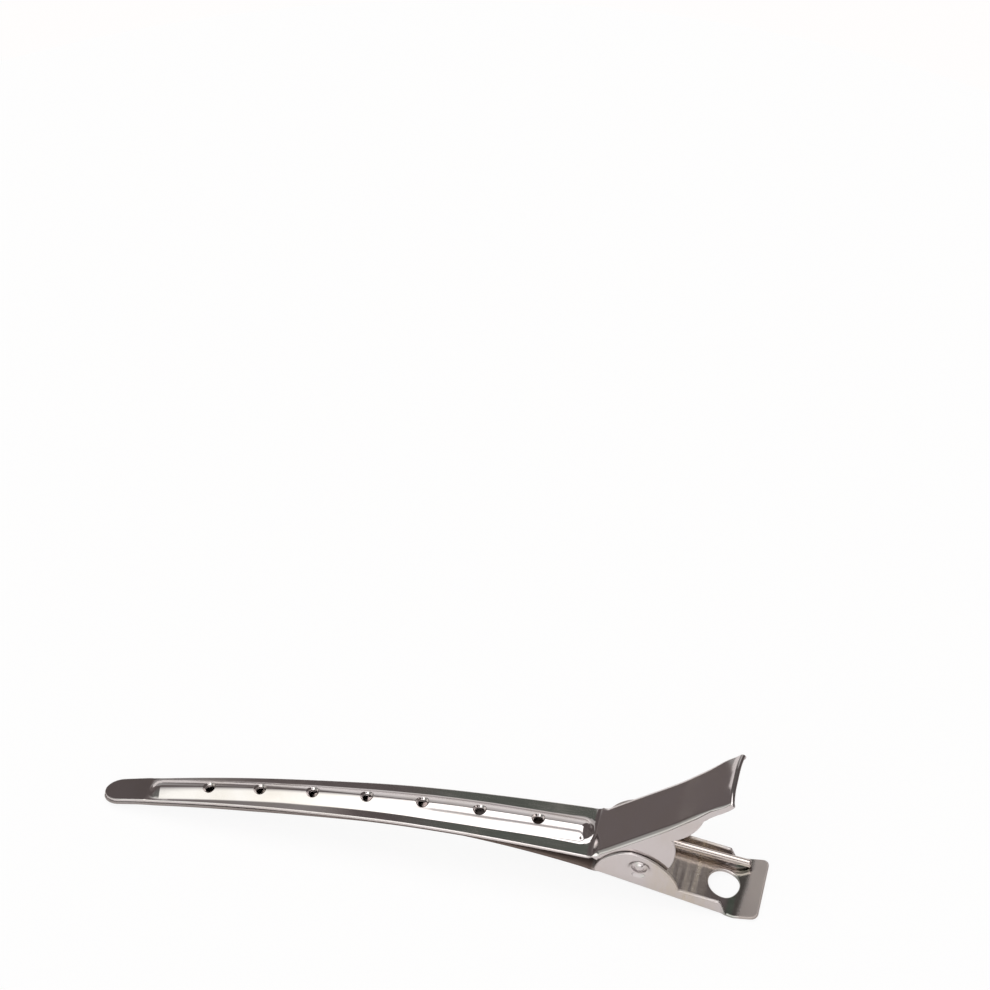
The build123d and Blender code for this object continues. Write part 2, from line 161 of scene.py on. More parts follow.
# The camera, solved from the photograph: lens and frame width, how far away it stands, how high and how far round in
# degrees, what it looks at (to the right, and up the picture), and a last small lift and turn
LENS, FRAME_WIDTH = 200.0, 36.0
CAMERA_DISTANCE, CAMERA_ELEVATION, CAMERA_AZIMUTH = 726.96, 46.0, 11.355
CAMERA_AIM_RIGHT, CAMERA_AIM_UP = 8.37, 45.70
CAMERA_LIFT, CAMERA_TURN = 0.545, 0.0058


# ---- plain helpers -------------------------------------------------------------------


def smooth(value):
    value = np.clip(value, 0.0, 1.0)
    return value * value * (3.0 - 2.0 * value)


def risen(value, start, length):
    # 0 up to the start, 1 from a length after it, smooth between
    return smooth((value - start) / length)


def round_end(beyond, length):
    # What is left of a width that closes in a round over a length
    return np.sqrt(np.clip(1.0 - np.clip(beyond / length, 0.0, 1.0) ** 2, 1e-4, 1.0))


def outwards(t, half, width):
    # How far out in a strip of some width along the side, as a share of that width
    return np.maximum(np.abs(t) - (half - width), 0.0) / width


def soft_max(height, floor, rounding):
    # The higher of two heights, with a fillet where they meet
    gap = np.abs(height - floor)
    return np.maximum(height, floor) + np.maximum(rounding - gap, 0.0) ** 2 / (4.0 * rounding)


def arc_through(first, middle, last, count):
    # Points on the circle through three points, without the last one
    (ax, ay), (bx, by), (cx, cy) = first, middle, last
    det = 2.0 * (ax * (by - cy) + bx * (cy - ay) + cx * (ay - by))
    a2, b2, c2 = ax * ax + ay * ay, bx * bx + by * by, cx * cx + cy * cy
    ox = (a2 * (by - cy) + b2 * (cy - ay) + c2 * (ay - by)) / det
    oy = (a2 * (cx - bx) + b2 * (ax - cx) + c2 * (bx - ax)) / det
    radius = math.hypot(ax - ox, ay - oy)
    start = math.atan2(ay - oy, ax - ox)
    end = math.atan2(cy - oy, cx - ox)
    middle_turn = math.atan2(by - oy, bx - ox)
    turn = (end - start) % (2 * math.pi)
    if (middle_turn - start) % (2 * math.pi) > turn:
        turn -= 2 * math.pi
    angles = [start + turn * k / count for k in range(count)]
    return [(ox + radius * math.cos(a), oy + radius * math.sin(a)) for a in angles]


def resample(points, spacing):
    # A closed outline cut into nearly equal runs; corners stay where they are
    out = []
    for index, point in enumerate(points):
        after = points[(index + 1) % len(points)]
        length = math.dist(point, after)
        pieces = max(1, round(length / spacing))
        for k in range(pieces):
            share = k / pieces
            out.append((point[0] + share * (after[0] - point[0]), point[1] + share * (after[1] - point[1])))
    return out


def drop_near(points, distance):
    kept = []
    for point in points:
        if not kept or math.dist(kept[-1], point) > distance:
            kept.append(point)
    while len(kept) > 1 and math.dist(kept[0], kept[-1]) <= distance:
        kept.pop()
    return kept


def stretches(*runs):
    # Places along the blank, from runs of start, end and spacing
    return [place for start, end, spacing in runs for place in np.arange(start, end, spacing)]


def both_sides(s, columns):
    return [(s, t) for t in columns] + [(s, -t) for t in columns if t > 0]


def tree_of(points):
    tree = kdtree.KDTree(len(points))
    for index, point in enumerate(points):
        tree.insert(point, index)
    tree.balance()
    return tree


class SideLine:
    """Side view line of a jaw: runs of straight lines and arcs, each going on from the one before."""

    def __init__(self, x, z, slope, runs):
        self.starts = []
        reach = 0.0
        for length, curvature in runs:
            self.starts.append((reach, x, z, slope, curvature))
            if curvature:
                after = slope + curvature * length
                x += (math.sin(after) - math.sin(slope)) / curvature
                z -= (math.cos(after) - math.cos(slope)) / curvature
                slope = after
            else:
                x += length * math.cos(slope)
                z += length * math.sin(slope)
            reach += length
        self.length = reach

    def at(self, s):
        table = np.array(self.starts)
        row = table[np.clip(np.searchsorted(table[:, 0], s, side="right") - 1, 0, len(table) - 1)]
        along = s - row[..., 0]
        x, z, slope, curvature = (row[..., k] for k in range(1, 5))
        bent = np.where(curvature == 0.0, 1e-9, curvature)
        after = slope + curvature * along
        px = np.where(curvature == 0.0, x + along * np.cos(slope), x + (np.sin(after) - np.sin(slope)) / bent)
        pz = np.where(curvature == 0.0, z + along * np.sin(slope), z - (np.cos(after) - np.cos(slope)) / bent)
        return px, pz, after

    def nearest(self, x, z, low, high):
        # Distance along the line and depth below it, of a point near the stretch from low to high
        s = np.linspace(low, high, 6001)
        px, pz, slope = self.at(s)
        along = (x - px) * np.cos(slope) + (z - pz) * np.sin(slope)
        best = int(np.argmin(np.abs(along)))
        depth = (x - px[best]) * math.sin(slope[best]) - (z - pz[best]) * math.cos(slope[best])
        return float(s[best]), float(depth)

    def place(self, x):
        # Distance along the line at which it reaches x
        low, high = 0.0, self.length
        for _ in range(60):
            middle = (low + high) / 2
            if float(self.at(np.array([middle]))[0][0]) < x:
                low = middle
            else:
                high = middle
        return (low + high) / 2


def folded(line, s, t, half, bend, rear, rear_bend, height):
    """Places blank points (s, t): the sides past half and the rear past rear turn down with a rounded bend."""
    side_over = outwards(t, half, bend)
    rear_over = np.maximum(s - (rear - rear_bend), 0.0) / rear_bend
    over = np.hypot(side_over, rear_over)
    safe = np.maximum(over, 1e-9)
    turn = np.minimum(over, math.pi / 2)
    side_share, rear_share = side_over / safe, rear_over / safe
    round_radius = bend * side_share**2 + rear_bend * rear_share**2
    depth = round_radius * (1.0 - np.cos(turn) + np.maximum(over - math.pi / 2, 0.0))
    y = np.sign(t) * (np.minimum(np.abs(t), half - bend) + bend * np.sin(turn) * side_share)
    along = np.minimum(s, rear - rear_bend) + rear_bend * np.sin(turn) * rear_share
    x, z, slope = line.at(along)
    lift = height - depth
    return np.stack([x - np.sin(slope) * lift, y, z + np.cos(slope) * lift], axis=1), depth


# ---- the two blanks ------------------------------------------------------------------


def flange_drop(x, t, droop):
    # Both jaws' edges lean down a little in the front half, from just outside the middle
    share = (1.0 - risen(x, *LEAN_ENDS)) * risen(x, *LEAN_STARTS)
    return math.tan(droop) * share * np.maximum(np.abs(t) - LEAN_FROM_MIDDLE, 0.0)


Hole = namedtuple("Hole", "s t radius rings collared")


class Blank:
    """A flat blank in millimetres, s along its side line and t across; this much is the same for both jaws."""

    def __init__(self, sizes, bend):
        self.sheet = sizes.sheet / MM
        self.edge = sizes.edge_rounding / MM
        self.bend = bend / MM
        self.droop = sizes.flange_droop

    def side(self, s):
        # Half the width and the radius of the side's bend, as plain numbers
        place = np.array([s])
        return float(self.half(place)[0]), float(self.bend_at(place)[0])

    def across(self, s, depth):
        # Distance across the flat blank that folds to a depth
        half, bend = self.side(s)
        over = bend * math.acos(max(-1.0, 1.0 - depth / bend)) if depth < bend else bend * math.pi / 2 + depth - bend
        return half - bend + over

    def tip(self, half_width):
        long = TIP_ROUNDING * half_width
        turns = [math.pi / 2 * k / 14 for k in range(1, 15)]
        return [(self.line.place(TIP_X + long * (1 - math.cos(a))), half_width * math.sin(a)) for a in turns]

    def arcs(self, points, arcs):
        return [point for *names, count in arcs for point in arc_through(*(points[name] for name in names), count)]

    def closed(self, left):
        # The whole outline, from the points of its left side
        return [(0.0, 0.0)] + [(s, -t) for s, t in left] + left[::-1]

    def fold_columns(self, s):
        # Places across the side's bend and down its wall
        half, bend = self.side(s)
        bent = [half - bend + bend * math.pi / 2 * k / 7 for k in range(8)]
        return bent + [half - bend + bend * math.pi / 2 + depth for depth in WALL_DEPTHS]


class UpperBlank(Blank):
    """Flat blank of the upper jaw and thumb lever, and the form that it is pressed to."""

    flip = False

    def __init__(self, sizes):
        super().__init__(sizes, sizes.side_bend)
        self.foot = sizes.ridge_foot / MM
        self.collar = sizes.collar_radius / MM
        self.corner_dip = sizes.corner_dip / MM
        self.bend_dip = sizes.bend_dip / MM
        start_slope = math.asin((CREST_X - TIP_X) / JAW_RADIUS)
        start_z = CREST_Z - JAW_RADIUS * (1.0 - math.cos(start_slope))
        tilt = math.asin((FOLD_X - CREST_X) / REAR_CREST_RADIUS)
        lever = math.radians(LEVER_START_ANGLE)
        reach = FOLD_RADIUS * math.tan((lever + tilt) / 2)
        rear_turn = math.asin((FOLD_X - reach * math.cos(tilt) - CREST_X) / REAR_CREST_RADIUS)
        runs = [
            (JAW_RADIUS * start_slope, -1.0 / JAW_RADIUS),
            (REAR_CREST_RADIUS * rear_turn, -1.0 / REAR_CREST_RADIUS),
            (FOLD_RADIUS * (lever + rear_turn), 1.0 / FOLD_RADIUS),
            (LEVER_RUNS[0][0] - reach, 0.0),
        ]
        # The last run is spare length, which the lever's end is folded from
        runs += [(length, math.radians(turn) / length) for length, turn in LEVER_RUNS[1:]] + [(4.0, 0.0)]
        self.line = SideLine(TIP_X, start_z, start_slope, runs)
        self.bend_start = runs[0][0] + runs[1][0]
        self.lever_start = self.bend_start + runs[2][0]
        self.corner = self.lever_start - reach
        self.rear = self.corner + sum(run[0] for run in LEVER_RUNS)
        growth = [HOLE_PITCH_GROWTH * index * (index - 1) / 2 for index in range(HOLE_COUNT)]
        self.seats = [self.line.place(HOLE_FIRST_X + HOLE_PITCH * index + extra) for index, extra in enumerate(growth)]

    def half(self, s):
        x = self.line.at(np.minimum(s, self.corner))[0]
        start = TIP_X + TIP_ROUNDING * UPPER_TIP_HALF_WIDTH
        share = (x - start) / (FOLD_X - start)
        blade = UPPER_TIP_HALF_WIDTH + share * (UPPER_HINGE_HALF_WIDTH - UPPER_TIP_HALF_WIDTH)
        blade += FRONT_SWELL * risen(x, start, SWELL_LENGTH) * (1.0 - risen(x, *SWELL_ENDS))
        places = [self.corner, self.corner + 3.0, self.corner + LEVER_RUNS[0][0], self.rear]
        widths = [UPPER_HINGE_HALF_WIDTH, LEVER_HALF_WIDTH, LEVER_HALF_WIDTH, LEVER_END_HALF_WIDTH]
        return np.where(s > self.corner, np.interp(s, places, widths), blade)

    def bend_at(self, s):
        radius = self.bend + (LEVER_CORNER_BEND - self.bend) * risen(s - self.rear, -6.0, 5.5)
        return NO_BEND + radius * risen(s - self.corner, 0.15, 1.3)

    def ridge_half(self, s):
        x = self.line.at(s)[0]
        (front, front_length), (rear, rear_length) = RIDGE_FRONT_END, RIDGE_REAR_END
        body = np.interp(x, *zip(*RIDGE_HALF_WIDTHS))
        return body * round_end(front - x, front_length) * round_end(x - rear, rear_length)

    def ridge_height(self, s):
        x = self.line.at(s)[0]
        end, length = RIDGE_FALLS
        fall = (end - x) / length
        eased = np.maximum(RIDGE_FALL_ROUNDING - np.abs(fall - 1.0), 0.0) ** 2 / (4.0 * RIDGE_FALL_ROUNDING)
        rear = np.clip(np.minimum(fall, 1.0) - eased, 0.0, 1.0)
        return np.interp(x, *zip(*RIDGE_HEIGHTS)) * risen(x, *RIDGE_RISES) * rear

    def ridge(self, s, t):
        x = self.line.at(s)[0]
        half, height = self.ridge_half(s), np.maximum(self.ridge_height(s), 1e-3)
        across = np.sqrt(t**2 + RIDGE_CREST_ROUNDING**2) / half
        arch = height * (1.0 - np.minimum(across, 3.0) ** RIDGE_ARCH)
        foot = self.foot * (1.0 + FOOT_WIDER_BY * risen(x, *FOOT_WIDENS))
        # The fillet at the foot fades with the ridge, so that nothing is left of it at the bend
        foot = foot * np.where(x > 0.0, np.clip(height / 0.25, 0.02, 1.0), 1.0)
        return np.where(s < self.corner, soft_max(arch, -flange_drop(x, t, self.droop), foot), 0.0)

    def outer(self, s, t):
        # The plate dips slightly towards the two rear corners of the thumb lever, and at the bend's two sides
        past_bend = s - self.corner
        corner_dip = outwards(t, LEVER_END_HALF_WIDTH, CORNER_DIP_WIDTH) ** 2 * risen(s - self.rear, *CORNER_DIP_STARTS)
        bend_dip = outwards(t, UPPER_HINGE_HALF_WIDTH, BEND_DIP_WIDTH) ** 2 * risen(past_bend, *BEND_DIP_STARTS)
        bend_dip = bend_dip * (1.0 - risen(past_bend, *BEND_DIP_ENDS))
        height = self.ridge(s, t) - self.corner_dip * corner_dip - self.bend_dip * bend_dip
        points, depth = folded(self.line, s, t, self.half(s), self.bend_at(s), self.rear, LEVER_END_BEND, height)
        inward = (self.half(s) - LEVER_HALF_WIDTH) * risen(depth, LEVER_RIM, 1.2)
        points[:, 1] -= np.sign(t) * np.where(s > self.corner, inward, 0.0)
        return points

    inner = outer

    def lever_place(self, point):
        # Distance along the lever from the bend and depth below its top, for a point of the side view
        s, depth = self.line.nearest(point[0], point[1], self.lever_start, self.rear)
        return s - self.corner, depth

    def outline(self):
        top_s, _ = self.line.nearest(*EAR_POINTS["top"], self.lever_start, self.rear)
        top = tuple(float(c[0]) for c in self.line.at(np.array([top_s]))[:2])
        ear = [self.lever_place(point) for point in self.arcs({**EAR_POINTS, "top": top}, EAR_ARCS)]
        ear = [EAR_START, self.lever_place(EAR_POINTS["front"])] + [p for p in ear if p[1] > LEVER_RIM + EAR_MARGIN]
        side = [(self.corner + u, self.across(self.corner + u, depth)) for u, depth in ear]
        end_over = LEVER_END_BEND * math.pi / 2 + LEVER_END_DEPTH - LEVER_END_BEND
        rear_s = self.rear - LEVER_END_BEND
        place = side[-1][0] + RIM_FIRST
        while place < rear_s - RIM_LAST:
            side.append((place, self.across(place, LEVER_RIM)))
            place += RIM_STEP
        half, bend = self.side(rear_s)
        rear_t = half - bend
        corner_over = self.across(rear_s, LEVER_END_DEPTH + 0.1)
        for k in range(13):
            a = math.pi / 2 * k / 12
            side.append((rear_s + end_over * math.sin(a), rear_t + (corner_over - rear_t) * math.cos(a)))
        return self.closed(self.tip(UPPER_TIP_HALF_WIDTH) + side)

    def holes(self):
        u, depth = self.lever_place((PIVOT_X, PIVOT_Z))
        s, radius = self.corner + u, PIP_RADIUS + PIVOT_CLEARANCE
        t = self.across(s, depth)
        out = [Hole(place, 0.0, self.collar, (1.1, 1.22, 1.36, 1.5), True) for place in self.seats]
        return out + [Hole(s, sign * t, radius, (1.3,), False) for sign in (-1, 1)]

    def points(self):
        place = self.line.place
        rows = stretches(
            (0.25, place(-38.9), 0.45),
            (place(-38.8), place(-36.3), 0.12),
            (place(-36.1), place(18.7), 0.4),
            (place(18.8), self.bend_start, 0.11),
            (self.bend_start, self.lever_start + 0.05, 0.08),
            (self.lever_start + 0.15, self.lever_start + 1.6, 0.15),
            (self.lever_start + 1.8, self.rear - 3.6, 0.7),
            (self.rear - 3.4, self.rear - LEVER_END_BEND - 0.1, 0.2),
        )
        rows += [self.rear - LEVER_END_BEND * (1 - math.pi / 2 * k / 9) for k in range(10)]
        out = []
        for s in rows:
            half, bend = self.side(s)
            if s < self.corner:
                ridge = max(float(self.ridge_half(np.array([s]))[0]), 1.2)
                columns = [ridge * share for share in RIDGE_SHARES]
                foot = columns[-1]
                columns += [foot + (half - foot) * share for share in FLANGE_SHARES if half - foot > 0.2]
            else:
                count = 24 if s > self.rear - 3.6 or s < self.lever_start + 2.0 else 8
                columns = [(half - bend) * share / count for share in range(count)] + self.fold_columns(s)
            out += both_sides(s, columns)
        return out


class LowerBlank(Blank):
    """Flat blank of the lower jaw and lever; its outer side is the underside."""

    flip = True

    def __init__(self, sizes):
        super().__init__(sizes, sizes.floor_bend)
        self.dent_depth = sizes.dent_depth / MM
        depth = 2 * self.sheet + JAW_GAP
        radius = JAW_RADIUS - depth
        slope = math.asin((CREST_X - TIP_X) / radius)
        start_z = CREST_Z - JAW_RADIUS + radius * math.cos(slope)
        floor = math.radians(FLOOR_ANGLE)
        crest_turn = math.asin((LOWER_CREST_END_X - CREST_X) / LOWER_CREST_RADIUS)
        crest_z = CREST_Z - depth
        end_z = crest_z - LOWER_CREST_RADIUS * (1 - math.cos(crest_turn))
        flare_z = FLARE_RADIUS * (1 - math.cos(floor))
        meet_x = (end_z + LOWER_CREST_END_X * math.tan(crest_turn) - flare_z - FLARE_START_X * math.tan(floor)) / (
            math.tan(crest_turn) - math.tan(floor)
        )
        reach = (meet_x - LOWER_CREST_END_X) / math.cos(crest_turn)
        knee_radius = reach / math.tan((floor - crest_turn) / 2)
        straight = (FLARE_START_X - meet_x) / math.cos(floor) - reach
        flare_turn = floor + math.radians(FLARE_ANGLE)
        flare_end = FLARE_START_X + FLARE_RADIUS * (math.sin(floor) + math.sin(math.radians(FLARE_ANGLE)))
        last = (LOWER_END_X - flare_end) / math.cos(math.radians(FLARE_ANGLE))
        runs = [
            (radius * slope, -1.0 / radius),
            (LOWER_CREST_RADIUS * crest_turn, -1.0 / LOWER_CREST_RADIUS),
            (knee_radius * (floor - crest_turn), -1.0 / knee_radius),
            (straight, 0.0),
            (FLARE_RADIUS * flare_turn, 1.0 / FLARE_RADIUS),
            (last, 0.0),
        ]
        self.line = SideLine(TIP_X, start_z, slope, runs)
        self.end = self.line.length
        self.flare = sum(run[0] for run in runs[:4])
        self.wall_start = self.line.place(DOME_POINTS["front"][0])
        self.floor_turn = floor
        self.pivot = self.wall_place((PIVOT_X, PIVOT_Z))

    def wall_place(self, point):
        # Distance along the floor and height above its underside, for a point of the side view
        dx, dz = point[0] - FLARE_START_X, point[1] - FLARE_RADIUS * (1 - math.cos(self.floor_turn))
        turn = self.floor_turn
        return (self.flare + dx * math.cos(turn) - dz * math.sin(turn), dx * math.sin(turn) + dz * math.cos(turn))

    def half(self, s):
        places, widths = zip(*LOWER_WIDTHS)
        places = [TIP_X + TIP_ROUNDING * LOWER_TIP_HALF_WIDTH, *places, DOME_POINTS["wall_end"][0], FLARE_FULL_X]
        return np.interp(self.line.at(s)[0], places, [LOWER_TIP_HALF_WIDTH, *widths, LOWER_SIDE, FLARE_HALF_WIDTH])

    def bend_at(self, s):
        rear = smooth((self.flare + WALL_BEND_END - s) / WALL_BEND_FADES)
        return NO_BEND + self.bend * risen(s - self.wall_start, -0.2, 1.1) * rear

    def inner(self, s, t):
        points = rise(self.line, s, t, self.half(s), self.bend_at(s))
        points[:, 2] -= flange_drop(points[:, 0], t, self.droop)
        return points

    def outer(self, s, t):
        points = self.inner(s, t)
        away = np.hypot(s - self.pivot[0], np.abs(t) - self.wall_t(self.pivot[1]))
        depth = self.dent_depth * smooth((DENT_RADIUS - away) / DENT_SLOPE)
        depth = depth - DENT_DOME_HEIGHT * np.clip(1.0 - (away / DENT_DOME_RADIUS) ** 2, 0.0, 1.0)
        points[:, 1] -= np.sign(t) * np.where(away < DENT_REACH, depth, 0.0)
        return points

    def wall_t(self, height):
        return LOWER_SIDE - self.bend + self.bend * math.pi / 2 + height - self.bend

    def outline(self):
        places = {name: self.wall_place(point) for name, point in DOME_POINTS.items()}
        wall = self.arcs(places, DOME_ARCS) + [places["wall_front"], places["wall_rear"], places["wall_end"]]
        side = [(s, self.across(s, max(height, WALL_LOWEST))) for s, height in wall]
        past_wall = self.flare + WALL_END_GAP
        side.append((past_wall, self.side(past_wall)[0]))
        side += [(self.line.place(x), FLARE_HALF_WIDTH) for x in (FLARE_FULL_X, FLARE_STRAIGHT_X)]
        for k in range(1, 7):
            a, radius = math.pi / 2 * k / 6, FLARE_CORNER_RADIUS
            x = LOWER_END_X - radius + radius * math.sin(a)
            side.append((self.line.place(x), FLARE_HALF_WIDTH - radius + radius * math.cos(a)))
        places = [self.line.place(x) for x, _ in LOWER_WIDTHS]
        return self.closed(self.tip(LOWER_TIP_HALF_WIDTH) + [(s, self.side(s)[0]) for s in places] + side)

    def holes(self):
        return [Hole(self.line.place(LEVER_HOLE_X), 0.0, LEVER_HOLE_RADIUS, (1.12, 1.25), False)]

    def points(self):
        rows = stretches(
            (0.3, self.wall_start - 2.5, 1.2),
            (self.wall_start - 2.4, self.wall_start + 1.6, 0.16),
            (self.wall_start + 1.7, self.flare - 0.3, 0.6),
            (self.flare - 0.1, self.flare + 1.8, 0.1),
            (self.flare + 1.9, self.end - 0.15, 0.35),
        )
        out = []
        for s in rows:
            half, bend = self.side(s)
            columns = [(half - bend) * share for share in FLOOR_SHARES]
            if self.wall_start - 0.3 < s < self.flare + 1.0:
                columns += self.fold_columns(s)
            out += both_sides(s, columns)
        # Rings of points round each pivot, for the dent
        s0, t0, reach = self.pivot[0], self.wall_t(self.pivot[1]), DENT_REACH + 0.1
        out = [p for p in out if math.hypot(p[0] - s0, abs(p[1]) - t0) > reach]
        for sign in (-1, 1):
            out.append((s0, sign * t0))
            for radius in np.arange(0.12, reach, 0.105):
                count = max(6, int(round(2 * math.pi * radius / 0.16)))
                turns = [2 * math.pi * (k + 0.37 * radius) / count for k in range(count)]
                out += [(s0 + radius * math.cos(a), sign * (t0 + radius * math.sin(a))) for a in turns]
        return out


def rise(line, s, t, half, bend):
    """The same fold turned upwards: the outer side is below and outside."""
    over = np.maximum(np.abs(t) - (half - bend), 0.0)
    turn = np.minimum(over / bend, math.pi / 2)
    height = bend * (1.0 - np.cos(turn)) + np.maximum(over - bend * math.pi / 2, 0.0)
    y = np.sign(t) * (np.minimum(np.abs(t), half - bend) + bend * np.sin(turn))
    x, z, slope = line.at(s)
    return np.stack([x - np.sin(slope) * height, y, z + np.cos(slope) * height], axis=1)


# ---- from blank to pressed sheet -----------------------------------------------------


def surface_normals(form, s, t, flip):
    step = 2e-3
    along = form(s + step, t) - form(s - step, t)
    across = form(s, t + step) - form(s, t - step)
    normals = np.cross(along, across)
    normals /= np.maximum(np.linalg.norm(normals, axis=1, keepdims=True), 1e-12)
    return -normals if flip else normals


def inside(points, loop):
    # Which points lie inside a closed outline
    points, loop = np.asarray(points), np.asarray(loop)
    result = np.zeros(len(points), dtype=bool)
    ax, ay = loop[:, 0], loop[:, 1]
    bx, by = np.roll(ax, -1), np.roll(ay, -1)
    for x1, y1, x2, y2 in zip(ax, ay, bx, by):
        crosses = (y1 > points[:, 1]) != (y2 > points[:, 1])
        if y1 != y2:
            result ^= crosses & (points[:, 0] < (x2 - x1) * (points[:, 1] - y1) / (y2 - y1) + x1)
    return result


def inset_loop(loop, distance):
    loop = np.asarray(loop)
    before, after = np.roll(loop, 1, axis=0), np.roll(loop, -1, axis=0)
    e1, e2 = loop - before, after - loop
    e1 /= np.linalg.norm(e1, axis=1, keepdims=True)
    e2 /= np.linalg.norm(e2, axis=1, keepdims=True)
    n1 = np.stack([-e1[:, 1], e1[:, 0]], axis=1)
    n2 = np.stack([-e2[:, 1], e2[:, 0]], axis=1)
    inward = n1 + n2
    inward /= np.maximum(np.linalg.norm(inward, axis=1, keepdims=True), 1e-9)
    stretch = np.minimum(1.0 / np.maximum((inward * n2).sum(axis=1), 0.5), 1.5)
    return loop + inward * (distance * stretch)[:, None]


def ring_round(hole, radius, shift=0.0, way=1):
    # Points on a circle round a hole; where a collar joins, as many as the collar has
    count = COLLAR_SIDES if hole.collared else HOLE_SIDES
    turns = [way * 2 * math.pi * (k + shift) / count for k in range(count)]
    return [(hole.s + radius * math.cos(a), hole.t + radius * math.sin(a)) for a in turns]


def flat_mesh(blank):
    """Points and triangles of the flat blank, and the points in turn along its outline and round each hole."""
    holes = [hole if hole.collared else hole._replace(radius=hole.radius + blank.edge) for hole in blank.holes()]
    loops = [inset_loop(drop_near(resample(blank.outline(), EDGE_SPACING), EDGE_SHORTEST), blank.edge)]
    loops += [np.array(ring_round(hole, hole.radius, way=-1)) for hole in holes]
    points, rings = np.array(blank.points()), []
    points = points[inside(points, loops[0])]
    for hole in holes:
        reach = hole.radius * max(hole.rings) + HOLE_CLEARANCE
        points = points[np.hypot(points[:, 0] - hole.s, points[:, 1] - hole.t) > reach]
        for index, ring in enumerate(hole.rings):
            rings += ring_round(hole, hole.radius * ring, shift=0.5 * ((index + 1) % 2))
    tree = tree_of([(s, t, 0.0) for s, t in loops[0]])
    points = [p for p in [*points, *rings] if tree.find((p[0], p[1], 0.0))[2] > EDGE_CLEARANCE]
    coords, edges, rims = [], [], []
    for loop in loops:
        ids = [len(coords) + k for k in range(len(loop))]
        coords += [Vector((float(s), float(t))) for s, t in loop]
        edges += list(zip(ids, ids[1:] + ids[:1]))
        rims.append(ids)
    coords += [Vector((float(p[0]), float(p[1]))) for p in points]
    verts, _, faces, origins, _, _ = geometry.delaunay_2d_cdt(coords, edges, [], 0, 1e-7)
    flat = np.array([(v.x, v.y) for v in verts])
    found = {original: index for index, source in enumerate(origins) for original in source}
    rims = [np.array([found[k] for k in ids]) for ids in rims]
    triangles = np.array([f for f in faces if len(f) == 3])
    centres = flat[triangles].mean(axis=1)
    keep = inside(centres, loops[0])
    for hole in holes:
        keep &= np.hypot(centres[:, 0] - hole.s, centres[:, 1] - hole.t) > hole.radius * HOLE_FACES_FROM
    triangles = triangles[keep]
    e1 = flat[triangles[:, 1]] - flat[triangles[:, 0]]
    e2 = flat[triangles[:, 2]] - flat[triangles[:, 0]]
    backwards = e1[:, 0] * e2[:, 1] - e1[:, 1] * e2[:, 0] < 0
    triangles[backwards] = triangles[backwards][:, ::-1]
    return flat, triangles, rims, [False] + [hole.collared for hole in holes]


def pressed_sheet(blank):
    """Vertices, faces, exact normals and cut edges of a pressed sheet, and both rims of each hole left for a collar."""
    flat, triangles, rims, collared = flat_mesh(blank)
    s, t = flat[:, 0], flat[:, 1]
    outer = blank.outer(s, t)
    normals = surface_normals(blank.outer, s, t, blank.flip)
    plain_normals = surface_normals(blank.inner, s, t, blank.flip)
    inner = blank.inner(s, t) - plain_normals * blank.sheet
    count = len(flat)
    total = 2 * count
    positions, directions = [outer, inner], [normals, -plain_normals]
    polygons = [tuple(f) for f in triangles] + [tuple(f[::-1] + count) for f in triangles]
    open_rims = []
    for ids, is_collared in zip(rims, collared):
        top, bottom = outer[ids], inner[ids]
        if is_collared:
            open_rims.append((top, bottom))
            continue
        outward = np.cross(np.roll(top, -1, axis=0) - np.roll(top, 1, axis=0), normals[ids])
        outward /= np.maximum(np.linalg.norm(outward, axis=1, keepdims=True), 1e-12)
        if blank.flip:
            outward = -outward
        down = (top - bottom) / np.linalg.norm(top - bottom, axis=1, keepdims=True)
        # The cut edge: rounded from the outer side down, plain in the middle, rounded towards the inner side
        rings = [ids]
        rounded = ((top - down * blank.edge, (25, 50, 75, 90)), (bottom + down * blank.edge, (90, 105, 130, 155)))
        for middle, turns in rounded:
            for a in map(math.radians, turns):
                positions.append(middle + blank.edge * (math.sin(a) * outward + math.cos(a) * down))
                directions.append(math.sin(a) * outward + math.cos(a) * down)
                rings.append(np.arange(total, total + len(ids)))
                total += len(ids)
        rings.append(ids + count)
        for upper, lower in zip(rings, rings[1:]):
            for k in range(len(ids)):
                after = (k + 1) % len(ids)
                polygons.append((upper[after], upper[k], lower[k], lower[after]))
    if blank.flip:
        polygons = [tuple(reversed(f)) for f in polygons]
    cut = np.concatenate([np.zeros(2 * count), np.ones(total - 2 * count)])
    return np.concatenate(positions), polygons, np.concatenate(directions), cut, open_rims


def lathe(profile, count, closed_ends=False):
    """A turned ring about Z from a profile of (radius, height), in millimetres."""
    verts, faces = [], []
    for radius, height in profile:
        for k in range(count):
            a = 2 * math.pi * k / count
            verts.append((radius * math.cos(a), radius * math.sin(a), height))
    for row in range(len(profile) - 1):
        for k in range(count):
            after = (k + 1) % count
            faces.append((row * count + k, row * count + after, (row + 1) * count + after, (row + 1) * count + k))
    if closed_ends:
        faces.append(tuple(reversed(range(count))))
        faces.append(tuple((len(profile) - 1) * count + k for k in range(count)))
    return verts, faces


def new_object(name, verts, faces, normals=None, cut=None):
    mesh = bpy.data.meshes.new(name)
    mesh.from_pydata([tuple(float(c) * MM for c in v) for v in verts], [], [tuple(int(i) for i in f) for f in faces])
    if normals is not None:
        layer = mesh.attributes.new("pressed_normal", "FLOAT_VECTOR", "POINT")
        layer.data.foreach_set("vector", np.asarray(normals, dtype=np.float32).ravel())
    if cut is not None:
        layer = mesh.attributes.new("cut_edge", "FLOAT", "POINT")
        layer.data.foreach_set("value", np.asarray(cut, dtype=np.float32))
    mesh.update()
    obj = bpy.data.objects.new(name, mesh)
    bpy.context.scene.collection.objects.link(obj)
    return obj


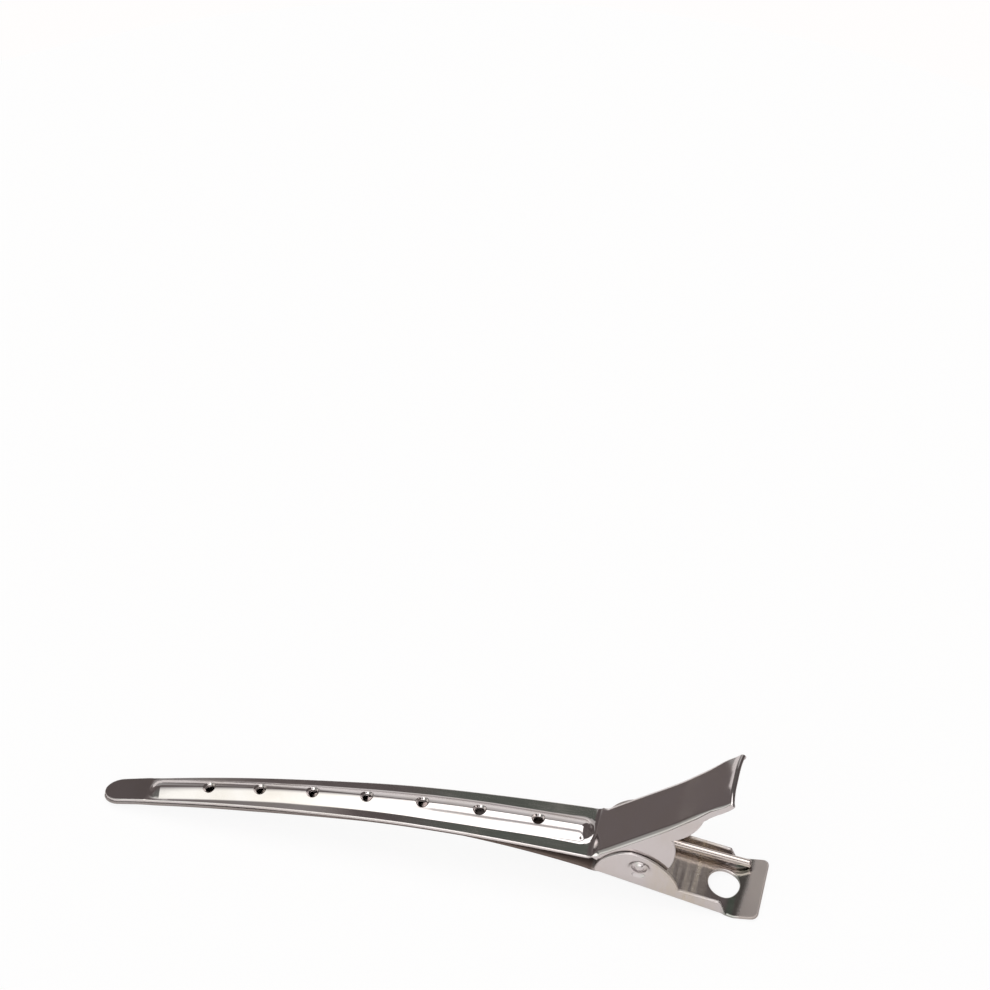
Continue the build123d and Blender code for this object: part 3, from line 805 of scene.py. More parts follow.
def join_into(target, others, seam=0.0):
    """Adds the other meshes to the target, welds their open edges to its own and shades it with the exact normals."""
    bm = bmesh.new()
    bm.from_mesh(target.data)
    count = len(bm.verts)
    for other in others:
        bm.from_mesh(other.data)
    if seam:
        bm.verts.index_update()
        rims = [v for v in bm.verts if v.is_boundary]
        own = [v for v in rims if v.index < count]
        tree = tree_of([v.co for v in own])
        welds = {}
        for vert in rims:
            if vert.index >= count:
                _, index, gap = tree.find(vert.co)
                if gap > seam:
                    raise RuntimeError(f"{target.name}: an open edge finds nothing to be welded to within {seam} m")
                welds[vert] = own[index]
        if not len(own) == len(welds) == len(set(welds.values())):
            raise RuntimeError(f"{target.name}: its open edges and the added ones do not pair up")
        bmesh.ops.weld_verts(bm, targetmap=welds)
    bmesh.ops.dissolve_degenerate(bm, edges=bm.edges, dist=WELD)
    bm.to_mesh(target.data)
    bm.free()
    for other in others:
        bpy.data.objects.remove(other)
    shade(target)


def shade(obj):
    mesh = obj.data
    mesh.shade_smooth()
    mesh.update()
    normals = np.zeros((len(mesh.vertices), 3), dtype=np.float32)
    mesh.vertices.foreach_get("normal", normals.ravel())
    layer = mesh.attributes.get("pressed_normal")
    if layer is not None:
        exact = np.zeros_like(normals)
        layer.data.foreach_get("vector", exact.ravel())
        known = np.linalg.norm(exact, axis=1) > 0.5
        normals[known] = exact[known]
        mesh.attributes.remove(layer)
    mesh.normals_split_custom_set_from_vertices([tuple(n) for n in normals])


def turn_outwards(obj, merge=0.0):
    bm = bmesh.new()
    bm.from_mesh(obj.data)
    if merge:
        bmesh.ops.remove_doubles(bm, verts=bm.verts, dist=merge)
    bmesh.ops.recalc_face_normals(bm, faces=bm.faces)
    bm.to_mesh(obj.data)
    bm.free()


def check_closed(obj):
    """Raises an error unless every edge of the mesh joins exactly two faces."""
    edges = np.zeros(len(obj.data.loops), dtype=np.int32)
    obj.data.loops.foreach_get("edge_index", edges)
    uses = np.bincount(edges, minlength=len(obj.data.edges))
    if not len(uses) or (uses != 2).any():
        raise RuntimeError(f"{obj.name} is not one closed skin")


# ---- node trees ----------------------------------------------------------------------


class Graph:
    """Adds nodes to a tree, their inputs fed by plain values or by the outputs of other nodes."""

    def __init__(self, tree):
        self.tree = tree

    def feed(self, socket, value):
        if isinstance(value, bpy.types.NodeSocket):
            self.tree.links.new(value, socket)
        else:
            socket.default_value = (*value, 1.0) if socket.type == "RGBA" else value

    def add(self, kind, inputs=None, output=0, **settings):
        node = self.tree.nodes.new(kind)
        for name, value in settings.items():
            setattr(node, name, value)
        for name, value in (inputs or {}).items():
            self.feed(node.inputs[name], value)
        return node.outputs[output] if node.outputs else node

    def axes(self, vector):
        first = self.add("ShaderNodeSeparateXYZ", {"Vector": vector})
        return tuple(first.node.outputs)

    def maths(self, operation, *values):
        return self.add("ShaderNodeMath", dict(enumerate(values)), operation=operation)

    def times(self, first, second):
        return self.maths("MULTIPLY", first, second)

    def vector_maths(self, operation, *values, output="Vector"):
        return self.add("ShaderNodeVectorMath", dict(enumerate(values)), output, operation=operation)

    def ranged(self, value, low, high, start=0.0, end=1.0, kind="LINEAR"):
        # The start up to the low value, the end from the high one
        inputs = {"Value": value, "From Min": low, "From Max": high, "To Min": start, "To Max": end}
        return self.add("ShaderNodeMapRange", inputs, interpolation_type=kind)

    def noise(self, vector, scale, detail, roughness=0.5):
        inputs = {"Vector": vector, "Scale": scale, "Detail": detail, "Roughness": roughness}
        return self.add("ShaderNodeTexNoise", inputs, "Fac")

    def mixed(self, share, first, second):
        # The Mix node's colours are its inputs 6 and 7, and its third output
        return self.add("ShaderNodeMix", {0: share, 6: first, 7: second}, 2, data_type="RGBA")


def new_tree(name, sockets):
    """A geometry tree with the sockets asked for between its geometry and its finish."""
    tree = bpy.data.node_groups.new(name, "GeometryNodeTree")
    for label, kind, default in (("Geometry", "Geometry", None), *sockets, ("Finish", "Material", None)):
        socket = tree.interface.new_socket(label, in_out="INPUT", socket_type="NodeSocket" + kind)
        if default is not None:
            socket.default_value = default
    tree.interface.new_socket("Geometry", in_out="OUTPUT", socket_type="NodeSocketGeometry")
    return Graph(tree), tree.nodes.new("NodeGroupInput").outputs


def end_tree(graph, given, geometry):
    finished = graph.add("GeometryNodeSetMaterial", {"Geometry": geometry, "Material": given["Finish"]})
    graph.add("NodeGroupOutput", {"Geometry": finished})
    return graph.tree


def run_tree(obj, tree, values):
    """Sets the tree's inputs by their identifiers, and turns the result into a plain mesh."""
    modifier = obj.modifiers.new(tree.name, "NODES")
    modifier.node_group = tree
    for item in tree.interface.items_tree:
        if item.in_out == "INPUT" and item.name in values:
            modifier[item.identifier] = values[item.name]
    obj.update_tag()
    graph = bpy.context.evaluated_depsgraph_get()
    mesh = bpy.data.meshes.new_from_object(obj.evaluated_get(graph), depsgraph=graph)
    obj.modifiers.remove(modifier)
    mesh.name = obj.name
    old, obj.data = obj.data, mesh
    bpy.data.meshes.remove(old)
    return obj


def named(graph, name):
    return graph.add("GeometryNodeInputNamedAttribute", {"Name": name}, "Attribute", data_type="FLOAT")


def collar_row_tree():
    """Sets one rolled hole collar on every seat point, tilted as the ridge is there."""
    graph, given = new_tree("Collar Row", [("Collar", "Object", None), ("Collar Size", "Float", 1.0)])
    inputs = {
        "Points": graph.add("GeometryNodeMeshToPoints", {"Mesh": given["Geometry"]}),
        "Instance": graph.add("GeometryNodeObjectInfo", {"Object": given["Collar"]}, "Geometry"),
        "Rotation": graph.add("ShaderNodeCombineXYZ", {"Y": named(graph, "tilt")}),
        "Scale": given["Collar Size"],
    }
    real = graph.add("GeometryNodeRealizeInstances", {"Geometry": graph.add("GeometryNodeInstanceOnPoints", inputs)})
    # Every collar is bent over the round of the ridge: down by R - sqrt(R^2 - y^2)
    radius = named(graph, "ridge_radius")
    _, y, _ = graph.axes(graph.add("GeometryNodeInputPosition"))
    under = graph.maths("SUBTRACT", graph.times(radius, radius), graph.times(y, y))
    shift = graph.add("ShaderNodeCombineXYZ", {"Z": graph.maths("SUBTRACT", graph.maths("SQRT", under), radius)})
    return end_tree(graph, given, graph.add("GeometryNodeSetPosition", {"Geometry": real, "Offset": shift}))


def wire_tree():
    """Draws round wire along a path of points, thinner where the path's girth is below 1."""
    graph, given = new_tree("Round Wire", [("Wire Radius", "Float", 0.00055), ("Sides", "Int", 20)])
    ring = {"Radius": given["Wire Radius"], "Resolution": given["Sides"]}
    inputs = {
        "Curve": graph.add("GeometryNodeMeshToCurve", {"Mesh": given["Geometry"]}),
        "Profile Curve": graph.add("GeometryNodeCurvePrimitiveCircle", ring),
        "Scale": named(graph, "girth"),
        "Fill Caps": True,
    }
    wire = graph.add("GeometryNodeCurveToMesh", inputs)
    return end_tree(graph, given, graph.add("GeometryNodeRealizeInstances", {"Geometry": wire}))


# ---- materials -----------------------------------------------------------------------


def new_material(name):
    material = bpy.data.materials.get(name) or bpy.data.materials.new(name)
    material.use_nodes = True
    material.node_tree.nodes.clear()
    return material, Graph(material.node_tree)


def cut_edges(graph):
    return graph.add("ShaderNodeAttribute", output="Fac", attribute_name="cut_edge")


def polished_nickel(name, colour, tarnish, roughness, lines_axis):
    """Bright plating with faint drawn lines, soft waviness and a little tarnish; cut edges are duller."""
    material, graph = new_material(name)
    place = graph.add("ShaderNodeTexCoord", output="Object")
    lines = graph.noise(graph.add("ShaderNodeMapping", {"Vector": place, "Scale": lines_axis}), 5000.0, 3.0)
    waves = graph.noise(place, 420.0, 1.5)
    stain = graph.add("ShaderNodeValToRGB", {"Fac": graph.noise(place, 130.0, 6.0, 0.62)})
    for element, position in zip(stain.node.color_ramp.elements, (0.44, 0.74)):
        element.position = position
    dullness = graph.ranged(lines, 0.3, 0.7, roughness * 0.75, roughness * 1.35)
    for share, more in ((stain, 0.07), (cut_edges(graph), 0.32)):
        dullness = graph.maths("MULTIPLY_ADD", share, more, dullness)
    fine = graph.add("ShaderNodeBump", {"Strength": 0.12, "Distance": 0.000001, "Height": lines})
    wavy = graph.add("ShaderNodeBump", {"Strength": 0.35, "Distance": 0.00001, "Height": waves, "Normal": fine})
    inputs = {"Base Color": graph.mixed(stain, colour, tarnish), "Metallic": 1.0, "Roughness": dullness, "Normal": wavy}
    graph.add("ShaderNodeOutputMaterial", {"Surface": graph.add("ShaderNodeBsdfPrincipled", inputs)})
    return material


def plain_floor(colour):
    # A pale table, exposed nearly to white for the camera as in a catalogue picture
    material, graph = new_material("Pale Floor")
    inputs = {"Base Color": colour, "Roughness": 0.9, "Specular IOR Level": 0.1}
    matt, white = graph.add("ShaderNodeBsdfPrincipled", inputs), graph.add("ShaderNodeEmission")
    share = graph.times(graph.add("ShaderNodeLightPath", output="Is Camera Ray"), 0.9)
    shown = graph.add("ShaderNodeMixShader", {0: share, 1: matt, 2: white})
    graph.add("ShaderNodeOutputMaterial", {"Surface": shown})
    return material


# ---- what a user may change ----------------------------------------------------------


def length(name, description, default, low=0.0, high=0.02):
    limits = {"default": default, "min": low, "max": high, "precision": 5}
    return bpy.props.FloatProperty(name=name, description=description, unit="LENGTH", subtype="DISTANCE", **limits)


def share(name, description, default, high=1.0, subtype="FACTOR"):
    limits = {"default": default, "min": 0.0, "max": high}
    return bpy.props.FloatProperty(name=name, description=description, subtype=subtype, **limits)


def colour(name, description, default):
    limits = {"default": default, "min": 0.0, "max": 1.0, "size": 3}
    return bpy.props.FloatVectorProperty(name=name, description=description, subtype="COLOR", **limits)


class HAIRCLIP_PG_sheet(bpy.types.PropertyGroup):
    sheet: length("Sheet thickness", "Thickness of the plated sheet", SHEET * MM)
    edge_rounding: length("Edge rounding", "Radius of the tumbled sheet edges", 0.00018)
    side_bend: length("Side bend", "Outer radius where a side is folded", 0.001)
    floor_bend: length("Floor bend", "Outer radius where the lower lever's walls rise from its floor", 0.0005)
    ridge_foot: length("Ridge foot", "Softness of the crease along the foot of the ridge", 0.00012)
    hole_radius: length("Hole radius", "Radius of the small holes in the ridge", 0.0007)
    collar_radius: length("Collar radius", "Outer radius of the rolled collar around each small hole", 0.00092)
    flange_droop: share("Flange droop", "Slope of the jaws' edges in the front half", math.radians(5.5), 0.3, "ANGLE")
    corner_dip: length("Corner dip", "How far the thumb lever's rear corners dip below its plate", 0.00036)
    bend_dip: length("Bend dip", "How far the plate's edges dip at the bend between jaw and thumb lever", 0.00005)
    dent_depth: length("Dent depth", "Depth of the ring pressed around each pivot", 0.00036)


class HAIRCLIP_PG_spring(bpy.types.PropertyGroup):
    wire_radius: length("Wire radius", "Radius of the spring wire", 0.00055)
    sides: bpy.props.IntProperty(
        name="Sides", description="Flat sides of the drawn wire's ring", default=24, min=8, max=64
    )


class HAIRCLIP_PG_finish(bpy.types.PropertyGroup):
    nickel: colour("Nickel", "Colour of the bright plating", (0.62, 0.58, 0.575))
    tarnish: colour("Tarnish", "Colour of the slightly tarnished patches", (0.57, 0.52, 0.49))
    wire: colour("Wire", "Colour of the plated spring wire", (0.57, 0.51, 0.475))
    roughness: share("Roughness", "Roughness of the polish", 0.085)


class HAIRCLIP_PG_stage(bpy.types.PropertyGroup):
    floor: colour("Floor", "Colour of the floor", (0.86, 0.835, 0.84))
    strength: share("Light strength", "Brightness of the studio", 1.0, 10.0, "NONE")


def settings(context):
    scene = context.scene
    return scene.hairclip_sheet, scene.hairclip_spring, scene.hairclip_finish, scene.hairclip_stage


def plate_finish(context):
    finish = settings(context)[2]
    lines_axis = (0.06, 1.0, 1.0)
    return polished_nickel("Polished Nickel", tuple(finish.nickel), tuple(finish.tarnish), finish.roughness, lines_axis)


def give_material(obj, material):
    obj.data.materials.clear()
    obj.data.materials.append(material)


# ---- operators -----------------------------------------------------------------------


class HAIRCLIP_OT_upper_jaw(bpy.types.Operator):
    """Press the upper jaw with its ridge, pierced row and thumb lever"""

    bl_idname = "hairclip.upper_jaw"
    bl_label = "Upper Jaw"

    def execute(self, context):
        sizes = settings(context)[0]
        material = plate_finish(context)
        blank = UpperBlank(sizes)
        verts, faces, normals, cut, holes = pressed_sheet(blank)
        jaw = new_object("upper_jaw_pressed", verts, faces, normals, cut)
        collars = self.collars(blank, sizes, material)
        self.seat_rims(collars, holes)
        join_into(jaw, [collars], seam=WELD)
        check_closed(jaw)
        give_material(jaw, material)
        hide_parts("upper_jaw")
        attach(jaw, "upper")
        return {"FINISHED"}

    def seat_rims(self, collars, holes):
        # Each collar turns the other way round from its hole in the blank; its last ring lies outside, its first inside
        coords = np.zeros(len(collars.data.vertices) * 3)
        collars.data.vertices.foreach_get("co", coords)
        around = len(holes[0][0])
        rings = coords.reshape(len(holes), -1, around, 3)
        order = -np.arange(around) % around
        for rows, (outer, inner) in zip(rings, holes):
            if np.linalg.norm(rows[-1] - outer[order] * MM, axis=1).max() > RIM_REACH:
                raise RuntimeError("A collar does not reach the edge of its hole")
            rows[-1], rows[0] = outer[order] * MM, inner[order] * MM
        collars.data.vertices.foreach_set("co", rings.ravel())
        collars.data.update()

    def collars(self, blank, sizes, material):
        hole, collar = sizes.hole_radius / MM, blank.collar
        profile = [(collar, -blank.sheet)] + [(hole + out, -blank.sheet - down) for out, down in COLLAR_SKIRT]
        profile += [(hole + out, -down) for out, down in COLLAR_WALL]
        profile += [(hole + (collar - hole) * reach, -down) for reach, down in COLLAR_DISH]
        # How far each ring of the profile is bare metal
        bare = [0.0, 1.0, 1.0, 1.0, 1.0, 0.5] + [0.0] * len(COLLAR_DISH)
        verts, faces = lathe(profile, COLLAR_SIDES)
        pattern = new_object("collar_pattern", verts, faces, cut=np.repeat(bare, COLLAR_SIDES))
        places = np.array(blank.seats)
        x, z, slope = blank.line.at(places)
        lift, half = blank.ridge_height(places), blank.ridge_half(places)
        row = np.stack([x - np.sin(slope) * lift, 0 * x, z + np.cos(slope) * lift], axis=1)
        seats = new_object("collar_row", row, [])
        # The round that fits the pointed ridge best as far out as the collar reaches
        drop = lift * (collar / half) ** RIDGE_ARCH
        for name, values in (("tilt", -slope), ("ridge_radius", (collar**2 + drop**2) / (2 * drop) * MM)):
            seats.data.attributes.new(name, "FLOAT", "POINT").data.foreach_set("value", values)
        row = run_tree(seats, collar_row_tree(), {"Collar": pattern, "Collar Size": 1.0, "Finish": material})
        bpy.data.objects.remove(pattern)
        return row


class HAIRCLIP_OT_lower_jaw(bpy.types.Operator):
    """Press the lower jaw with its ears, walls, pivots and flared lever"""

    bl_idname = "hairclip.lower_jaw"
    bl_label = "Lower Jaw"

    def execute(self, context):
        sizes = settings(context)[0]
        material = self.worn_and_shaded(plate_finish(context))
        blank = LowerBlank(sizes)
        verts, faces, normals, cut, _ = pressed_sheet(blank)
        jaw = new_object("lower_jaw_pressed", verts, faces, normals, cut)
        join_into(jaw, self.pips(LOWER_SIDE - blank.sheet))
        check_closed(jaw)
        give_material(jaw, material)
        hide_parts("lower_jaw")
        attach(jaw, "lower")
        return {"FINISHED"}

    def pips(self, inner_y):
        # The two round pivots, which stand on the ears' inner faces and reach in towards the middle
        end, core = PIP_REACH - inner_y, PIP_RADIUS - PIP_ROUNDING
        profile = [(PIP_RADIUS, PIP_ROOT), (PIP_RADIUS, end + PIP_ROUNDING)]
        for a in (math.pi / 2 * k / 5 for k in range(1, 6)):
            profile.append((core + PIP_ROUNDING * math.cos(a), end + PIP_ROUNDING - PIP_ROUNDING * math.sin(a)))
        profile.append((PIP_HOLLOW_RADIUS, end + PIP_HOLLOW_DEPTH))
        ring, skin = lathe(profile, COLLAR_SIDES, closed_ends=True)
        out = []
        for sign in (-1, 1):
            placed = [(PIVOT_X + v[0], sign * (inner_y + v[2]), PIVOT_Z + v[1]) for v in ring]
            out.append(new_object("pip", placed, skin))
            turn_outwards(out[-1])
        return out

    def worn_and_shaded(self, plain):
        """The lower jaw's plating: duller bare edges in front, dark with painted shade like its top face between the
        jaws, painted shade in each pivot's groove and on the lever's curl, paler streaks and a dull lip at the lever.
        """
        material = plain.copy()
        material.name = "Polished Nickel, Worn"
        graph = Graph(material.node_tree)
        shader = next(node for node in graph.tree.nodes if node.type == "BSDF_PRINCIPLED")
        tone, dullness = (shader.inputs[name].links[0].from_socket for name in ("Base Color", "Roughness"))
        over, times = graph.ranged, graph.times
        place = graph.add("ShaderNodeTexCoord", output="Object")
        x, y, z = graph.axes(place)
        _, _, upwards = graph.axes(graph.add("ShaderNodeTexCoord", output="Normal"))
        # Painted shade: the top face between the jaws and the bare cut edges in front are painted dark brown, partly
        # for their duller bare metal and partly for the shade in the gap between the jaws
        shaded_top_face = times(over(upwards, 0.3, 0.6), over(x, 0.0, 0.01))
        bare = times(graph.maths("MAXIMUM", cut_edges(graph), shaded_top_face), over(x, -0.040, 0.004, 0.6, 1.0))
        bare = times(bare, over(x, 0.0222, 0.0232, 1.0, 0.0))
        # Painted shade in the groove around each pivot, darkest at its top, standing in for a dark reflection
        off = graph.vector_maths("SUBTRACT", place, (PIVOT_X * MM, 0.0, PIVOT_Z * MM))
        flat = graph.vector_maths("MULTIPLY", off, (1.0, 0.0, 1.0))
        away = graph.vector_maths("LENGTH", flat, output="Value")
        groove_shade = times(over(away, 0.00098, 0.00118), over(away, 0.00138, 0.00158, 1.0, 0.0))
        groove_shade = times(groove_shade, over(graph.axes(off)[2], -0.0002, 0.0009, 0.0, 0.85))
        streaks = graph.noise(graph.add("ShaderNodeMapping", {"Vector": place, "Scale": (1.0, 0.05, 0.3)}), 1500.0, 3.0)
        lever = times(over(x, 0.029, 0.031), over(x, 0.036, 0.0395, 1.0, 0.0))
        # Paler olive streaks over the lever's floor, fainter higher up
        pale_streaks = times(lever, over(streaks, 0.32, 0.68, 0.2, 0.9))
        # The lever's curl and its lip lie slightly askew
        across = graph.maths("MULTIPLY_ADD", y, -0.07, x)
        # Painted shade: the lever's curl is darkened to a green-grey
        curl_shade = times(over(across, 0.0398, 0.0404, 0.0, 0.8), over(across, 0.0416, 0.0423, 1.0, 0.0))
        lip = over(across, 0.0417, 0.0425)
        for share, paint in (
            # dark brown bare edges and top face, partly painted shade
            (bare, (0.12, 0.09, 0.078)),
            # painted shade in the groove round each pivot
            (groove_shade, (0.07, 0.05, 0.045)),
            (times(pale_streaks, over(z, 0.0, 0.004, 1.0, 0.7)), (0.6, 0.53, 0.43)),
            # painted shade on the lever's curl
            (curl_shade, (0.36, 0.375, 0.34)),
            (over(lip, 0.0, 1.0, 0.0, 0.75), (0.46, 0.41, 0.38)),
        ):
            tone = graph.mixed(share, tone, paint)
        for share, more in ((lip, 0.26), (times(pale_streaks, lever), 0.2), (bare, 0.3)):
            dullness = graph.maths("ADD", dullness, over(share, 0.0, 1.0, 0.0, more))
        metallic = over(bare, 0.0, 1.0, 1.0, 0.15)
        inputs = {"Base Color": tone, "Metallic": metallic, "Roughness": dullness, "Specular IOR Level": 0.2}
        for name, value in inputs.items():
            graph.feed(shader.inputs[name], value)
        return material


class HAIRCLIP_OT_spring(bpy.types.Operator):
    """Wind the wire spring on the pivots and lay its two legs"""

    bl_idname = "hairclip.spring"
    bl_label = "Spring"

    def path(self, wire_radius):
        # Middle line of the wire, from the cut end in the lower lever to the cut end under the thumb lever
        turn = math.radians(LEVER_ANGLE)
        corner_z = CREST_Z - REAR_CREST_RADIUS + math.sqrt(REAR_CREST_RADIUS**2 - (BEND_X - CREST_X) ** 2)
        along, depth = LEVER_LENGTH - UPPER_LEG_SET_BACK, SHEET + UPPER_LEG_GAP + wire_radius
        end_x = BEND_X + along * math.cos(turn) + depth * math.sin(turn)
        end_z = corner_z + along * math.sin(turn) - depth * math.cos(turn)
        run, rise_z = end_x - PIVOT_X, end_z - PIVOT_Z
        leg_angle = math.atan2(rise_z, run) - math.asin(COIL_RADIUS / math.hypot(run, rise_z))
        low, high = math.radians(-90 - LOWER_LEG_ANGLE), math.pi / 2 + leg_angle
        sweep = 2 * math.pi * (COIL_WHOLE_TURNS + 1) - (high - low)

        def on_coil(share):
            a = low - sweep * share
            y = COIL_HALF_LENGTH * (1 - 2 * share)
            return Vector((PIVOT_X + COIL_RADIUS * math.cos(a), y, PIVOT_Z + COIL_RADIUS * math.sin(a)))

        coil = [on_coil(k / COIL_POINTS) for k in range(COIL_POINTS + 1)]
        first_x, first_z = PIVOT_X + COIL_RADIUS * math.cos(low), PIVOT_Z + COIL_RADIUS * math.sin(low)
        drop = (LOWER_LEG_END_X - first_x) * math.tan(math.radians(LOWER_LEG_ANGLE))
        foot = Vector((LOWER_LEG_END_X, LOWER_LEG_END_Y, first_z - drop))
        lower = Vector((first_x, COIL_HALF_LENGTH, first_z)) - foot
        upper = Vector((end_x, -COIL_HALF_LENGTH, end_z)) - coil[-1]
        points = [foot + lower * k / LEG_POINTS for k in range(LEG_POINTS)] + coil
        points += [coil[-1] + upper * k / LEG_POINTS for k in range(1, LEG_POINTS + 1)]
        # The corners between the coil and its legs are softened
        corners = (LEG_POINTS, LEG_POINTS + COIL_POINTS)
        soft = [k for k in range(len(points)) if min(abs(k - corner) for corner in corners) < SOFT_CORNER_POINTS]
        for _ in range(SOFT_CORNER_ROUNDS):
            softer = {k: (points[k - 1] + 2 * points[k] + points[k + 1]) / 4 for k in soft}
            points = [softer.get(k, point) for k, point in enumerate(points)]
        return points

    def execute(self, context):
        _, sizes, finish, _ = settings(context)
        colours = tuple(finish.wire), tuple(finish.tarnish)
        material = polished_nickel("Spring Wire", *colours, finish.roughness * 1.5, (1.0, 1.0, 1.0))
        radius = sizes.wire_radius / MM
        points = self.path(radius)
        # Both cut ends are rounded: a few more points there, with less girth
        reaches = [reach * WIRE_END_ROUNDING for reach, _ in WIRE_END]
        thin = [1 - inset * WIRE_END_ROUNDING / radius for _, inset in WIRE_END]
        ends = []
        for end, beside in ((points[0], points[1]), (points[-1], points[-2])):
            direction = (beside - end).normalized()
            ends.append([end + direction * reach for reach in reaches])
        girth = thin + [1.0] * (len(points) - 2) + thin[::-1]
        points = ends[0] + points[1:-1] + ends[1][::-1]
        path = new_object("spring_wound", [tuple(p) for p in points], [])
        mesh = path.data
        mesh.edges.add(len(points) - 1)
        mesh.edges.foreach_set("vertices", [i for k in range(len(points) - 1) for i in (k, k + 1)])
        mesh.attributes.new("girth", "FLOAT", "POINT").data.foreach_set("value", girth)
        mesh.update()
        values = {"Wire Radius": sizes.wire_radius, "Sides": sizes.sides, "Finish": material}
        spring = run_tree(path, wire_tree(), values)
        turn_outwards(spring, merge=WELD)
        for face in spring.data.polygons:
            face.use_smooth = len(face.vertices) == 4
        check_closed(spring)
        give_material(spring, material)
        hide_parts("spring")
        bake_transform(spring)
        return {"FINISHED"}


class HAIRCLIP_OT_stage(bpy.types.Operator):
    """Set the pale floor, the soft studio light and the camera"""

    bl_idname = "hairclip.stage"
    bl_label = "Stage"

    def execute(self, context):
        stage = settings(context)[3]
        scene = context.scene
        mesh = bpy.data.meshes.new("floor")
        turns = [2 * math.pi * k / FLOOR_SIDES for k in range(FLOOR_SIDES)]
        rim = [(FLOOR_RADIUS * math.cos(a), FLOOR_RADIUS * math.sin(a), 0.0) for a in turns]
        mesh.from_pydata(rim, [], [tuple(range(FLOOR_SIDES))])
        floor = bpy.data.objects.new("floor", mesh)
        floor.data.materials.append(plain_floor(tuple(stage.floor)))
        scene.collection.objects.link(floor)
        self.studio(scene, stage.strength)
        self.camera(scene)
        scene.view_settings.view_transform = "Standard"
        scene.view_settings.look = "None"
        return {"FINISHED"}

    def studio(self, scene, strength):
        """A soft tent: bright above and in front, a white backdrop behind, darker to the left and in a gap above it."""
        world = bpy.data.worlds.new("Studio")
        scene.world = world
        world.use_nodes = True
        world.node_tree.nodes.clear()
        graph = Graph(world.node_tree)
        maths, times = graph.maths, graph.times
        place = graph.add("ShaderNodeTexCoord", output="Generated")
        x, y, z = graph.axes(place)

        def ramp(value, low, high):
            return graph.ranged(value, low, high, kind="SMOOTHSTEP")

        def band(value, low, high, soft):
            return times(ramp(value, low - soft, low + soft), ramp(value, high + soft, high - soft))

        def layered(base, *layers):
            # Over the base, each layer in turn by its share
            for share, layer in layers:
                base = maths("MULTIPLY_ADD", share, maths("SUBTRACT", layer, base), base)
            return base

        # Height up the back, over the top and down the front: 0 at the horizon behind, half pi overhead
        height = maths("ARCTAN2", z, y)
        left = maths("MAXIMUM", maths("SUBTRACT", times(x, -1.0), 0.14), 0.0)
        # The ceiling of white cloth begins above a dark gap; the gap is wider to the left
        far_left = maths("MAXIMUM", maths("SUBTRACT", left, 0.09), 0.0)
        gap_bottom = maths("MAXIMUM", maths("MULTIPLY_ADD", far_left, -2.6, 0.80), 0.6)
        gap_top = maths("MINIMUM", maths("MULTIPLY_ADD", left, 1.9, 1.0), 1.27)
        softness = maths("MINIMUM", maths("MULTIPLY_ADD", left, 2.1, 0.04), 0.42)
        ceiling = ramp(maths("DIVIDE", maths("SUBTRACT", height, gap_top), softness), -1.0, 1.0)
        # A seam in the cloth overhead, and no cloth to the right
        seam = times(band(height, 1.72, 1.92, 0.07), ramp(x, -0.27, -0.19))
        glow = layered(
            2.6,
            (ramp(x, -0.2, -0.42), 1.65),
            (ramp(x, -0.52, -0.64), 0.2),
            (ramp(x, -0.8, -0.9), 0.45),
            (ramp(height, 2.45, 2.85), 1.0),
            (seam, 0.55),
            (ramp(x, 0.48, 0.62), 0.14),
        )
        # The backdrop behind: white in the middle, brighter higher up, dark to both sides
        under = maths("SUBTRACT", 1.0, ramp(maths("SUBTRACT", height, gap_bottom), -0.03, 0.03))
        side_dark = maths("MAXIMUM", ramp(x, -0.66, -0.73), times(ramp(x, -0.42, -0.48), ramp(height, 0.40, 0.50)))
        cloth = layered(
            1.07,
            (ramp(height, -0.1, 0.62), 0.6),
            (ramp(x, -0.26, -0.31), 0.24),
            (ramp(x, -0.36, -0.41), 0.42),
            (side_dark, 0.185),
            (ramp(x, 0.22, 0.36), 0.13),
        )
        # A dark shape in front, where the camera stands
        ahead = graph.vector_maths("DOT_PRODUCT", place, Vector((0.30, -0.63, 0.715)).normalized(), output="Value")
        dark = times(maths("MULTIPLY_ADD", graph.noise(place, 30.0, 4.0), 0.8, 0.6), 0.138)
        total = layered(dark, (under, cloth), (ceiling, glow), (ramp(ahead, 0.965, 0.98), 0.12))
        total = times(total, strength)
        seen = graph.add("ShaderNodeLightPath", output="Is Camera Ray")
        # Dark parts are warm to the sides and slightly green in the middle
        side = graph.mixed(band(x, -0.2, 0.15, 0.05), (1.0, 0.87, 0.86), (0.88, 1.0, 0.88))
        tint = graph.mixed(maths("MAXIMUM", ramp(total, 0.2, 0.36), seen), side, (1.0, 0.985, 0.98))
        creamy = times(times(ceiling, ramp(x, -0.2, -0.3)), maths("SUBTRACT", 1.0, seen))
        inputs = {"Color": graph.mixed(creamy, tint, (0.97, 1.0, 0.955)), "Strength": layered(total, (seen, 1.0))}
        graph.add("ShaderNodeOutputWorld", {"Surface": graph.add("ShaderNodeBackground", inputs)})

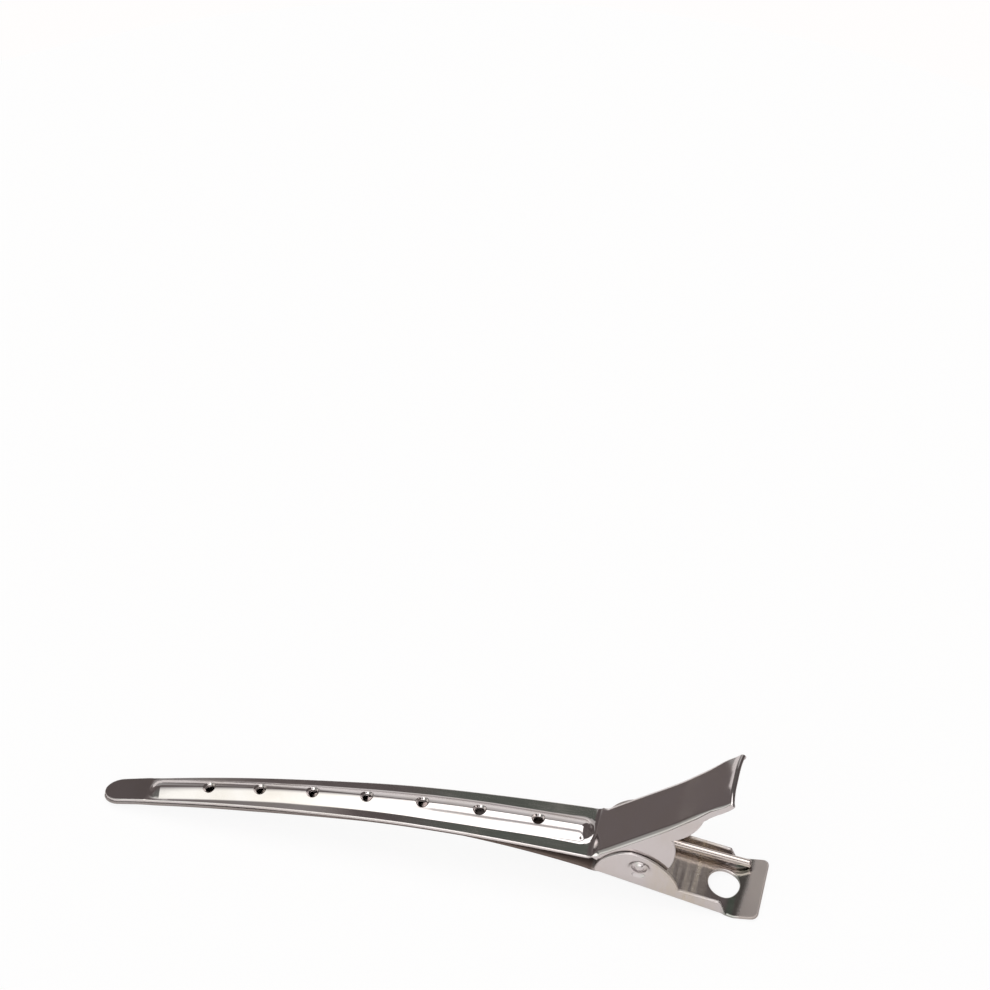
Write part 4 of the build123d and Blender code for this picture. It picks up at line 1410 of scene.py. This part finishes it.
    def camera(self, scene):
        data = bpy.data.cameras.new("Camera")
        data.lens, data.sensor_width, data.clip_start = LENS, FRAME_WIDTH, 0.01
        camera = bpy.data.objects.new("Camera", data)
        up, around = math.radians(CAMERA_ELEVATION), math.radians(CAMERA_AZIMUTH)
        away = Vector((math.sin(around) * math.cos(up), -math.cos(around) * math.cos(up), math.sin(up)))
        right = Vector((math.cos(around), math.sin(around), 0.0))
        aim = CAMERA_AIM_RIGHT * right + CAMERA_AIM_UP * away.cross(right)
        turned = Euler((math.pi / 2 - up, 0.0, around)).to_matrix().to_4x4()
        stand = Matrix.Translation((CAMERA_DISTANCE * away + aim) * MM) @ turned
        lean = Matrix.Translation((0.0, 0.0, CAMERA_LIFT * MM)) @ Matrix.Rotation(CAMERA_TURN, 4, "Y")
        camera.matrix_world = lean @ stand
        scene.collection.objects.link(camera)
        scene.camera = camera


class HAIRCLIP_PT_panel(bpy.types.Panel):
    """The clip's pieces and their sizes"""

    bl_label = "Duckbill Hair Clip"
    bl_idname = "HAIRCLIP_PT_panel"
    bl_space_type = "VIEW_3D"
    bl_region_type = "UI"
    bl_category = "Hair Clip"

    def draw(self, context):
        for group in settings(context):
            box = self.layout.box()
            for name in group.bl_rna.properties.keys():
                if name not in ("rna_type", "name"):
                    box.prop(group, name)
        for operator in OPERATORS:
            self.layout.operator(operator.bl_idname)


GROUPS = {
    "hairclip_sheet": HAIRCLIP_PG_sheet,
    "hairclip_spring": HAIRCLIP_PG_spring,
    "hairclip_finish": HAIRCLIP_PG_finish,
    "hairclip_stage": HAIRCLIP_PG_stage,
}
OPERATORS = (HAIRCLIP_OT_upper_jaw, HAIRCLIP_OT_lower_jaw, HAIRCLIP_OT_spring, HAIRCLIP_OT_stage)


def register():
    for cls in (*GROUPS.values(), *OPERATORS, HAIRCLIP_PT_panel):
        bpy.utils.register_class(cls)
    for name, group in GROUPS.items():
        setattr(bpy.types.Scene, name, bpy.props.PointerProperty(type=group))


def unregister():
    for name in GROUPS:
        delattr(bpy.types.Scene, name)
    for cls in (HAIRCLIP_PT_panel, *reversed(OPERATORS), *GROUPS.values()):
        bpy.utils.unregister_class(cls)


def main():
    register()
    bpy.ops.hairclip.upper_jaw()
    bpy.ops.hairclip.lower_jaw()
    bpy.ops.hairclip.spring()
    bpy.ops.hairclip.stage()


if __name__ == "__main__":
    main()
